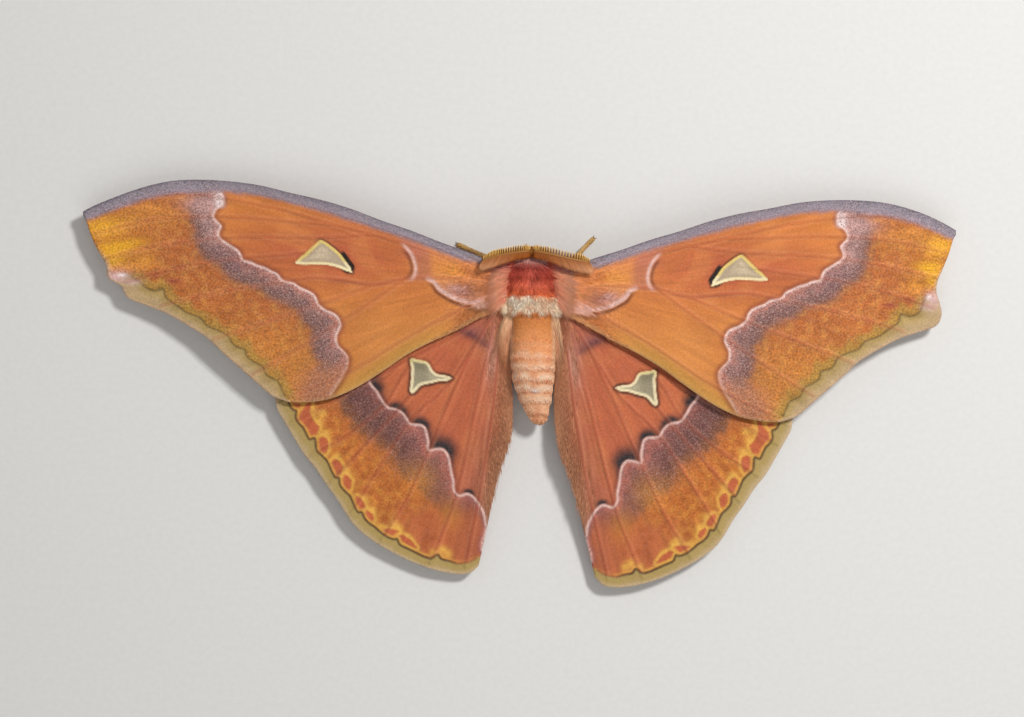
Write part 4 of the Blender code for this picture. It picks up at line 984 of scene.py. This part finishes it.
# Hair with a wing to lie on leaves its root freely and comes down on that wing
def growCoat(name, mesh, material, slot, look, weight, flow, tinter=bodyTint, wing=None):
    rng = np.random.default_rng(look["seed"])
    place, normal, patch, rows = scatter(mesh, look["count"], weight, rng)
    heading = flow(place, normal) + rng.normal(0.0, look["stray"], place.shape)
    if wing is None:
        heading = heading - normal * np.sum(heading * normal, axis=1, keepdims=True)
    heading = unit(heading)
    low, high = look.get("lengths", (0.65, 1.35))
    length = look["length"] * (low + (high - low) * rng.random(len(place)) ** look.get("uneven", 1.0))
    lift = look["lift"] * (0.6 + 0.8 * rng.random(len(place)))
    root = place - normal * tuftShape["rootDepth"]
    bend = root + heading * (length * tuftShape["bendAt"])[:, None] + normal * (length * lift)[:, None]
    tip = root + heading * (length * tuftShape["tipAt"])[:, None]
    tip = tip + normal * (length * lift * look["curl"])[:, None]
    if wing is not None:
        for points, rise in ((bend, look["rises"][0]), (tip, look["rises"][1])):
            level = wingHeight(wing, np.abs(points[:, 0]), points[:, 1], wing is hindWing)
            points[:, 2] = level + wingShape["topRise"] + rise * (0.6 + 0.8 * rng.random(len(place)))
    side = np.cross(normal, heading)
    width = look["width"] * (0.7 + 0.6 * rng.random(len(place)))
    tone = tinter(bend[:, 0], bend[:, 1], bend[:, 2]) if tinter else ownTint(mesh, rows)
    if "wash" in look:
        tone = tone + (colour(look["wash"]) - tone) * look["washed"]
    tone = tone * look.get("gain", 1.0)
    tones = [tone, tone]
    if "blend" in look:
        tones = [tinter(end[:, 0], end[:, 1], end[:, 2]) for end in (root, tip)]
    vary = 1.0 + look["vary"] * rng.normal(0.0, 1.0, (len(place), 1))
    first, last = (np.clip(tone * vary, 0.01, 1.0) for tone in tones)
    coat = spreadLocks(name, tuftLock, root, bend, tip, side, width, width * tuftShape["flatness"],
                       first * look.get("root", 0.9), np.clip(last * tuftShape["tipGain"], 0.0, 1.0),
                       tuftProfile, patch)
    print("coat", name, len(coat.polygons), "triangles")
    return shipPiece(name, coat, material)


# feelers, legs and eyes

def makeTube(name, path, radii, sides, tones):
    fine = roundLine(path, 6)
    sizes = np.interp(np.linspace(0.0, 1.0, len(fine)), np.linspace(0.0, 1.0, len(radii)), radii)
    curve = bpy.data.curves.new(name, "CURVE")
    curve.dimensions = "3D"
    curve.bevel_depth = 1.0
    curve.bevel_resolution = max(0, sides // 2 - 2)
    curve.use_fill_caps = True
    spline = curve.splines.new("POLY")
    spline.points.add(len(fine) - 1)
    for point, place, size in zip(spline.points, fine, sizes):
        point.co = (*place, 1.0)
        point.radius = size
    holder = bpy.data.objects.new(name + "Curve", curve)
    bpy.context.collection.objects.link(holder)
    mesh = bpy.data.meshes.new_from_object(holder.evaluated_get(bpy.context.evaluated_depsgraph_get()))
    bpy.data.objects.remove(holder, do_unlink=True)
    bpy.data.curves.remove(curve)
    mendShell(mesh, merge=0.001)
    coords = coordsOf(mesh)
    along = np.array([np.argmin(np.sum((fine - c) ** 2, axis=1)) for c in coords]) / (len(fine) - 1)
    setAttribute(mesh, "tint", shade(tones, along))
    return mesh, fine, sizes


def joinMeshes(name, meshes):
    joined = bmesh.new()
    for mesh in meshes:
        joined.from_mesh(mesh)
    result = bpy.data.meshes.new(name)
    joined.to_mesh(result)
    joined.free()
    return result


def pointsAlong(line, share):
    return np.stack([np.interp(share, np.linspace(0, 1, len(line)), line[:, i]) for i in range(3)], axis=1)


feeler = {
    "right": [(0.4, 7.1, 9.4), (-0.15, 7.35, 11.6), (0.5, 7.5, 12.7), (3.0, 7.2, 13.0), (6.2, 6.5, 13.0),
              (9.2, 6.05, 12.7), (10.9, 5.7, 12.3)],
    "left": [(-1.5, 7.1, 9.4), (-0.95, 7.35, 11.6), (-1.6, 7.5, 12.7), (-4.0, 7.15, 13.0), (-6.6, 6.6, 13.0),
             (-8.4, 6.1, 12.7), (-10.0, 5.5, 12.3)],
    "stem": (0.34, 0.3, 0.26, 0.22, 0.14), "start": 0.2, "seed": 31,
    "stemTones": [(0.0, "#6E3C14"), (0.3, "#96602A"), (1.0, "#A87438")],
}

# How long the branches are and how far they sweep outward, along the feeler
rearLeaf = ([0.0, 0.12, 0.3, 0.6, 0.82, 0.93, 1.0], [0.36, 0.42, 0.6, 0.95, 1.0, 0.85, 0.55])
rearSweep = ([0.0, 0.05, 0.12, 0.3, 1.0], [-1.8, -0.8, 0.0, 0.5, 0.9])
frontLeaf = ([0.0, 0.3, 0.8, 1.0], [0.75, 1.0, 0.9, 0.5])
frontSweep = ([0.0, 0.05, 0.12, 1.0], [-1.0, -0.5, 0.0, 0.12])
# The two low rows lie under and between the upper ones and are darker copies of them: painted shade. The
# front row's pale gold tips are partly the branches' own colour and partly a painted highlight.
feelerRows = {
    "Rear": {"count": 60, "heading": (0.0, -1.0, -0.3), "length": 3.4, "leaf": rearLeaf, "sweep": rearSweep,
             "curl": -0.02, "width": 0.19, "dark": "#94500E", "light": "#9C5014", "far": "#DE9E70"},
    "RearLowShaded": {"count": 60, "heading": (0.0, -0.9, -0.6), "length": 2.9, "leaf": rearLeaf,
                "sweep": rearSweep, "curl": -0.04, "width": 0.17, "dark": "#6A340A", "light": "#7E3E10",
                "far": "#B87444"},
    "Front": {"count": 28, "heading": (0.0, 1.0, 0.4), "length": 1.6, "leaf": frontLeaf,
              "sweep": frontSweep, "curl": 0.05, "width": 0.12, "dark": "#A86C1C", "light": "#FFD078",
              "far": "#FFD078"},
    "FrontLowShaded": {"count": 28, "shift": 0.014, "heading": (0.0, 0.95, 0.15), "length": 1.3, "leaf": frontLeaf,
                 "sweep": frontSweep, "curl": 0.05, "width": 0.15, "dark": "#4A2404", "light": "#8A5414",
                 "far": "#8A5414"},
}


def makeFeeler(label, side, material):
    stem, fine, _ = makeTube("feeler", feeler[label], feeler["stem"], 8, feeler["stemTones"])
    rng = np.random.default_rng(feeler["seed"] + side)
    pieces = [stem]
    for name, row in feelerRows.items():
        t = np.linspace(feeler["start"], 0.995, row["count"]) + row.get("shift", 0.0)
        at, ahead, before = (pointsAlong(fine, np.clip(t + step, 0.0, 1.0)) for step in (0.0, 0.02, -0.02))
        along = unit(ahead - before)
        place = (t - t[0]) / (t[-1] - t[0])
        leaf = np.interp(place, *row["leaf"])
        sweep = np.interp(place, *row["sweep"])
        wobble = rng.normal(0.0, 0.015, (len(t), 3))
        lean = unit(np.array(row["heading"]) + along * sweep[:, None] + wobble)
        length = row["length"] * leaf * (0.97 + 0.06 * rng.random(len(t)))
        tip = at + lean * length[:, None] + np.array([0.0, 0.0, row["curl"] * 2.0])
        bend = at + lean * (length * 0.5)[:, None] - np.array([0.0, 0.0, row["curl"] * 2.0]) + along * 0.1
        widths = np.full(len(t), row["width"])
        tipTint = shade([(0.0, row["light"]), (0.3, row["light"]), (0.75, row["far"])], place)
        tone = 0.86 + 0.28 * rng.random((len(t), 1))
        pieces.append(spreadLocks("ramus" + name, ramusLock, at, bend, tip, along, widths, widths * 0.8,
                                  colour(row["dark"]) * tone, tipTint * tone, ramusProfile))
    mesh = joinMeshes("feeler" + label.capitalize(), pieces)
    return shipPiece("feeler" + label.capitalize(), mesh, material, ("antenna_" + label,))


legTones = [(0.0, "#8A5A34"), (0.4, "#C09458"), (0.7, "#CCA468"), (1.0, "#C49C5C")]
legRadii = (0.75, 0.9, 0.85, 0.6, 0.5, 0.42, 0.42, 0.45, 0.4)
legLook = {"count": 1000, "length": 1.0, "width": 0.085, "lift": 0.25, "floorGap": 0.12, "clawWidth": 0.1,
           "clawRoot": "#9A7444", "clawTip": "#7A5A34", "tipGain": 1.25, "vary": 0.12}


def makeLeg(label, path, material, seed):
    tube, fine, sizes = makeTube("leg", path, legRadii, 10, legTones)
    rng = np.random.default_rng(seed)
    share = rng.random(legLook["count"]) * 0.97
    at = pointsAlong(fine, share)
    along = unit(pointsAlong(fine, np.minimum(share + 0.03, 1)) - at)
    out = rng.normal(0.0, 1.0, at.shape)
    out = unit(out - along * np.sum(out * along, axis=1, keepdims=True))
    size = np.interp(share, np.linspace(0, 1, len(sizes)), sizes)
    root = at + out * (size * 0.8)[:, None]
    length = legLook["length"] * (0.5 + 0.6 * rng.random(len(share)))
    length = length * np.interp(share, [0, 0.6, 1], [1.2, 0.9, 0.7])
    bend = root + along * (length * 0.5)[:, None] + out * (length * legLook["lift"])[:, None]
    tip = root + along * length[:, None] + out * (length * legLook["lift"] * 0.6)[:, None]
    for points in (root, bend, tip):
        points[:, 2] = np.maximum(points[:, 2], legLook["floorGap"])
    tones = shade(legTones, share) * (1.0 + legLook["vary"] * rng.normal(0.0, 1.0, (len(share), 1)))
    widths = np.full(len(share), legLook["width"])
    hair = spreadLocks("legHair", tuftLock, root, bend, tip, np.cross(along, out), widths, widths * 0.5,
                       np.clip(tones, 0, 1), np.clip(tones * legLook["tipGain"], 0, 1), tuftProfile)
    end = fine[-1]
    heading = unit(fine[-1] - fine[-4])
    sideways = np.cross(heading, (0.0, 0.0, 1.0))
    roots = np.array([end, end])
    bends = roots + heading * 0.35 + np.array([sideways * 0.2, -sideways * 0.2]) + (0.0, 0.0, 0.1)
    tips = roots + heading * 0.6 + np.array([sideways * 0.42, -sideways * 0.42])
    tips[:, 2] = 0.06
    clawWidths = np.full(2, legLook["clawWidth"])
    clawTones = [np.tile(colour(legLook[end]), (2, 1)) for end in ("clawRoot", "clawTip")]
    claws = spreadLocks("claw", tuftLock, roots, bends, tips, np.array([sideways, sideways]), clawWidths,
                        clawWidths, *clawTones, tuftProfile)
    mesh = joinMeshes(label, [tube, hair, claws])
    coords = coordsOf(mesh)
    coords[:, 2] = np.maximum(coords[:, 2], 0.0)
    mesh.vertices.foreach_set("co", coords.astype(np.float32).ravel())
    return shipPiece(label.replace("_", ""), mesh, material, ("leg_" + label,))


# The fore feet are where the photo shows them, the others are hidden under the wings
def legPaths(side):
    footX, footY = (11.9, 11.0) if side > 0 else (-15.5, 8.9)
    kneeX = side * 8.0 - 0.4
    leanX, leanY = footX - kneeX, footY - 5.6
    return {
        "fore": [(side * 3.2 - 0.4, 4.4, 5.4), (side * 5.4 - 0.4, 5.4, 4.0), (kneeX, 5.8, 5.2),
                 (kneeX + leanX * 0.4, 5.6 + leanY * 0.45, 2.6),
                 (kneeX + leanX * 0.68, 5.6 + leanY * 0.72, 0.34), (footX, footY, 0.3)],
        "mid": [(side * 4.0 - 0.4, 0.4, 5.0), (side * 7.6 - 0.4, 0.4, 4.6), (side * 10.5, 0.2, 5.0),
                (side * 14.4, -0.8, 2.6), (side * 17.2, -1.8, 0.34), (side * 20.2, -2.6, 0.3)],
        "hind": [(side * 3.6, -4.2, 5.0), (side * 6.4, -6.6, 4.2), (side * 8.6, -9.4, 4.2),
                 (side * 10.6, -14.0, 2.2), (side * 11.6, -17.4, 0.34), (side * 12.6, -21.0, 0.3)]}


eyeShape = {"radius": 1.15, "flatness": 0.8, "apart": 2.4, "place": 7.2, "height": 7.0}


def makeEye(label, side, material):
    ball = bmesh.new()
    bmesh.ops.create_uvsphere(ball, u_segments=40, v_segments=24, radius=eyeShape["radius"])
    bmesh.ops.scale(ball, verts=ball.verts, vec=(eyeShape["flatness"], 1.0, 1.0))
    middle = float(bodyLine(8.0)) + side * eyeShape["apart"]
    bmesh.ops.translate(ball, verts=ball.verts, vec=(middle, eyeShape["place"], eyeShape["height"]))
    mesh = bpy.data.meshes.new("eye" + label)
    ball.to_mesh(mesh)
    ball.free()
    return shipPiece("eye" + label.capitalize(), mesh, material, ("eye_" + label,))


# camera, floor and light

# Metres here; the camera looks straight down and takes in "width" from side to side
cameraSet = {"lens": 100.0, "sensor": 36.0, "width": 0.2048, "aim": (-0.00053, 0.00558, 0.007), "roll": 2.0}

camera = bpy.data.objects.new("viewCamera", bpy.data.cameras.new("viewCamera"))
bpy.context.collection.objects.link(camera)
camera.data.lens = cameraSet["lens"]
camera.data.sensor_width = cameraSet["sensor"]
camera.data.clip_start = 0.01
distance = cameraSet["width"] * cameraSet["lens"] / cameraSet["sensor"]
camera.location = Vector(cameraSet["aim"]) + Vector((0, 0, distance))
camera.rotation_euler = (0.0, 0.0, math.radians(cameraSet["roll"]))
bpy.context.scene.camera = camera
bpy.context.scene.view_settings.view_transform = "Standard"

floorShape = bmesh.new()
bmesh.ops.create_grid(floorShape, x_segments=8, y_segments=8, size=floorLooks["reach"])
floorMesh = bpy.data.meshes.new("floor")
floorShape.to_mesh(floorMesh)
floorShape.free()
floorMesh.materials.append(makeFloorMaterial())
floor = bpy.data.objects.new("floor", floorMesh)
bpy.context.collection.objects.link(floor)

lamps = {
    "key": {"place": (0.22, 0.22, 0.46), "size": 0.08, "power": 2.2},
    "fill": {"place": (0.1, -0.45, 0.65), "size": 0.7, "power": 1.5},
}
room = {"tone": (0.97, 0.97, 1.0, 1.0), "strength": 0.32}
for name, lamp in lamps.items():
    light = bpy.data.lights.new(name, "AREA")
    light.size = lamp["size"]
    light.energy = lamp["power"]
    holder = bpy.data.objects.new(name, light)
    holder.location = lamp["place"]
    holder.rotation_euler = (-Vector(lamp["place"])).to_track_quat("-Z", "Y").to_euler()
    bpy.context.collection.objects.link(holder)
world = bpy.data.worlds.new("softRoom")
world.use_nodes = True
background = world.node_tree.nodes["Background"]
background.inputs["Color"].default_value = room["tone"]
background.inputs["Strength"].default_value = room["strength"]
bpy.context.scene.world = world
print("camera, floor and light are set")

sides = ((1, "right"), (-1, "left"))
wingMaterial = makeWingMaterial()
wings = {}
for side, label in sides:
    for kind, wing, painter in (("fore", foreWing, paintForewing), ("hind", hindWing, paintHindwing)):
        name = kind + "wing"
        wings[kind + label] = makeWing(name + label.capitalize(), wing, side, kind == "hind", painter,
                                       wingMaterial, name + "_" + label)
print("wings are made")

# name, noise scale, darkest and lightest, roughness, gloss, bump and its depth
skinMaterial = makeTintMaterial("bodySkin", 3000.0, 0.8, 1.1, 0.85, 0.1, 0.6, 0.0003)
furMaterial = makeTintMaterial("furLocks", 6000.0, 0.94, 1.16, 0.8, 0.12, 0.2, 0.0001)
hornMaterial = makeTintMaterial("hornSurface", 5000.0, 0.85, 1.12, 0.5, 0.35, 0.3, 0.00005)
skin = makeSkin(skinMaterial)


def chestFlow(place, normal):
    across = acrossBody(place)
    return np.stack([across * 0.12, np.full(len(across), -1.0), np.full(len(across), -0.1)], axis=1)


def headFlow(place, normal):
    out = chestFlow(place, normal)
    out[:, 1] = np.where(place[:, 2] > 8.6, -0.4, 0.7)
    out[:, 2] = -0.5
    return out


def between(low, high):
    return lambda centre, facing: ((centre[:, 1] > low) & (centre[:, 1] < high)).astype(float) + 1e-6


# Lengths in millimetres; "range" is the part of the body, from rear to front, that the coat covers
shortCoat = {"length": 1.2, "width": 0.085, "lift": 0.12, "curl": 0.5, "stray": 0.16, "vary": 0.04,
             "root": 1.0}
coats = {
    "headCoat": {"count": 7000, "length": 1.1, "width": 0.08, "lift": 0.2, "curl": 0.4, "stray": 0.25,
                 "vary": 0.06, "seed": 11, "range": (6.3, 8.6)},
    "chestCoat": {"count": 14000, "length": 1.9, "width": 0.085, "lift": 0.2, "curl": 0.5, "stray": 0.22,
                  "vary": 0.06, "seed": 12, "range": (-1.6, 6.4)},
    "bandCoat": {"count": 7000, "length": 1.7, "width": 0.09, "lift": 0.3, "curl": 0.7, "stray": 0.4,
                 "vary": 0.05, "seed": 13, "range": (-3.9, -0.6)},
    "abdomenCoatFront": {**shortCoat, "count": 11000, "seed": 14, "range": (-14.5, -3.6)},
    "abdomenCoatRear": {**shortCoat, "count": 10000, "seed": 15, "range": (-27.6, -14.5)},
}
for name, look in coats.items():
    growCoat(name, skin, furMaterial, "abdomen_fur" if "abdomen" in name else "fur", look,
             between(*look["range"]), headFlow if name == "headCoat" else chestFlow)


# Two pointed tufts under the face
palps = {"across": 0.85, "height": 6.3, "reach": 0.6}
palpCoat = {"count": 900, "length": 0.85, "width": 0.07, "lift": 0.42, "curl": 1.9, "stray": 0.1,
            "vary": 0.07, "seed": 17}


def palpOffset(place):
    across = acrossBody(place)
    return across - np.sign(across) * palps["across"], place[:, 2] - palps["height"]


def onPalps(centre, facing):
    dx, dz = palpOffset(centre)
    return (np.hypot(dx, dz * 0.8) < palps["reach"]) * (centre[:, 1] > 7.0) + 1e-9


def palpFlow(place, normal):
    dx, dz = palpOffset(place)
    return np.stack([-dx, np.zeros(len(dx)), -dz - 0.15], axis=1)


def palpTint(x, y, z):
    return shade([(7.0, "#A86C38"), (9.2, "#D0A070")], y)


growCoat("palpCoat", skin, furMaterial, "fur", palpCoat, onPalps, palpFlow, palpTint)


# Long hair from the sides of the thorax over the wing bases, and down both sides of the abdomen
def shoulderFlow(place, normal):
    across = acrossBody(place)
    return np.stack([np.sign(across), -0.5 - 0.16 * (3.4 - place[:, 1]), np.zeros(len(across))], axis=1)


def shoulderTint(x, y, z):
    across = np.abs(x - bodyLine(y))
    clump = mottle(x * 1.6, y * 1.6 + x * 0.6, 1.0, 8.2)
    tint = np.tile(colour("#F4B284"), (len(x), 1))
    brush(tint, "#FAC2A6", 0.7 * smooth(clump, -0.1, 0.25))
    brush(tint, "#B4787A", 0.85 * smooth(y, 2.4, 4.2) * smooth(across, 4.6, 5.6))
    brush(tint, "#F4C8B0", 0.5 * hump(y, 2.4, 0.9) * hump(across, 6.8, 0.7) * smooth(clump, -0.2, 0.1))
    edge = across + 0.7 * clump
    brush(tint, "#CA5A44", 0.95 * smooth(-edge, -6.3, -5.0))
    return tint


def napeTint(x, y, z):
    clump = mottle(x * 1.4, y * 1.4, 1.0, 2.9)
    tint = np.tile(colour("#FFE0C0"), (len(x), 1))
    brush(tint, "#E0B890", 0.6 * smooth(clump, 0.0, 0.4))
    return tint


def flankFlow(place, normal):
    across = acrossBody(place)
    return np.stack([np.sign(across) * 0.1, np.full(len(across), -1.0), np.zeros(len(across))], axis=1)


def flankTint(x, y, z):
    clump = mottle(x * 2.0, y * 0.5, 1.0, 6.6)
    tint = np.tile(colour("#F2CEA6"), (len(x), 1))
    brush(tint, "#E2A880", smooth(-y, 6.0, 11.0))
    brush(tint, "#C88C60", 0.6 * smooth(clump, 0.0, 0.4))
    return tint


def besideChest(low, high):
    def spot(centre, facing):
        side = np.abs(acrossBody(centre)) / bodyAt(centre[:, 1], 1)
        within = (centre[:, 1] > low) * (centre[:, 1] < high)
        return smooth(side, 0.68, 0.9) * (centre[:, 2] > 8.2) * within + 1e-9
    return spot


def onFlank(centre, facing):
    spot = smooth(np.abs(acrossBody(centre)), 3.6, 4.4) * (centre[:, 2] > 6.6)
    return spot * smooth(-centre[:, 1], 3.0, 4.4) * smooth(centre[:, 1], -10.0, -5.0) + 1e-9


sideCoats = {
    "shoulderCoat": {"count": 9000, "length": 2.7, "lengths": (0.15, 2.4), "uneven": 1.8, "width": 0.07,
                     "lift": 0.1, "curl": 0.1, "stray": 0.22, "vary": 0.08, "seed": 21, "rises": (0.6, 0.3),
                     "root": 1.0, "blend": True},
    "napeCoat": {"count": 2600, "length": 1.5, "lengths": (0.3, 1.6), "width": 0.08, "lift": 0.1, "curl": 0.1,
                 "stray": 0.3, "vary": 0.06, "seed": 23, "rises": (0.7, 0.4), "root": 1.0},
    "flankCoat": {"count": 5400, "length": 5.4, "lengths": (0.25, 2.0), "uneven": 1.3, "width": 0.07,
                  "lift": 0.08, "curl": 0.1, "stray": 0.08, "vary": 0.08, "seed": 22, "rises": (0.9, 0.6),
                  "root": 1.0},
}
sidePlaces = {
    "shoulderCoat": (besideChest(-1.5, 5.6), shoulderFlow, shoulderTint, foreWing),
    "napeCoat": (besideChest(-3.8, -1.0), shoulderFlow, napeTint, foreWing),
    "flankCoat": (onFlank, flankFlow, flankTint, hindWing),
}
for name, places in sidePlaces.items():
    growCoat(name, skin, furMaterial, "fur", sideCoats[name], *places)


# Short hair in the wing's own colours at the wing bases and along their inner margins
def onWing(kind, wing, side):
    line = roundLine(wing["inner"], 2)
    line = np.stack(toSide(line[:, 0], line[:, 1], side), axis=1)

    def spot(centre, facing):
        x, y = np.abs(centre[:, 0]), centre[:, 1]
        margin = lineDistance(centre[:, 0], y, line)[0]
        if kind == "fore":
            place = smooth(-x, -15.0, -5.0) + 0.6 * smooth(-margin, -0.8, -0.2) * smooth(-x, -20.0, -8.0)
        else:
            place = smooth(-margin, -5.0, 0.0) * smooth(y, -46.0, -16.0)
        return place * (facing[:, 2] > 0.3) + 1e-9
    return spot


def outFlow(side, flow):
    return lambda place, normal: np.tile((side * flow[0], flow[1], 0.0), (len(place), 1))


flatHair = {"width": 0.05, "lift": 0.1, "curl": 0.5, "vary": 0.04, "rises": (0.14, 0.07), "root": 1.05}
wingHair = {
    "fore": {**flatHair, "count": 5000, "length": 1.7, "stray": 0.14, "seed": 31, "flow": (0.85, -0.5),
             "gain": 1.12, "wash": "#E8AC80", "washed": 0.2},
    "hind": {**flatHair, "count": 8000, "length": 2.2, "stray": 0.08, "seed": 33, "flow": (-0.08, -1.0),
             "gain": 1.1, "wash": "#E0A880", "washed": 0.22},
}
for kind, wing in (("fore", foreWing), ("hind", hindWing)):
    look = wingHair[kind]
    for side, label in sides:
        growCoat(kind + "Hair" + label.capitalize(), wings[kind + label], furMaterial, "wing", look,
                 onWing(kind, wing, side), outFlow(side, look["flow"]), None, wing)
print("body and coat are made")

eyeMaterial = makeEyeMaterial()
for side, label in sides:
    makeEye(label, side, eyeMaterial)
    makeFeeler(label, side, hornMaterial)
    for number, (pair, path) in enumerate(legPaths(side).items()):
        makeLeg(pair + "_" + label, path, hornMaterial, 50 + number * 2 + side)
print("eyes, feelers and legs are made")
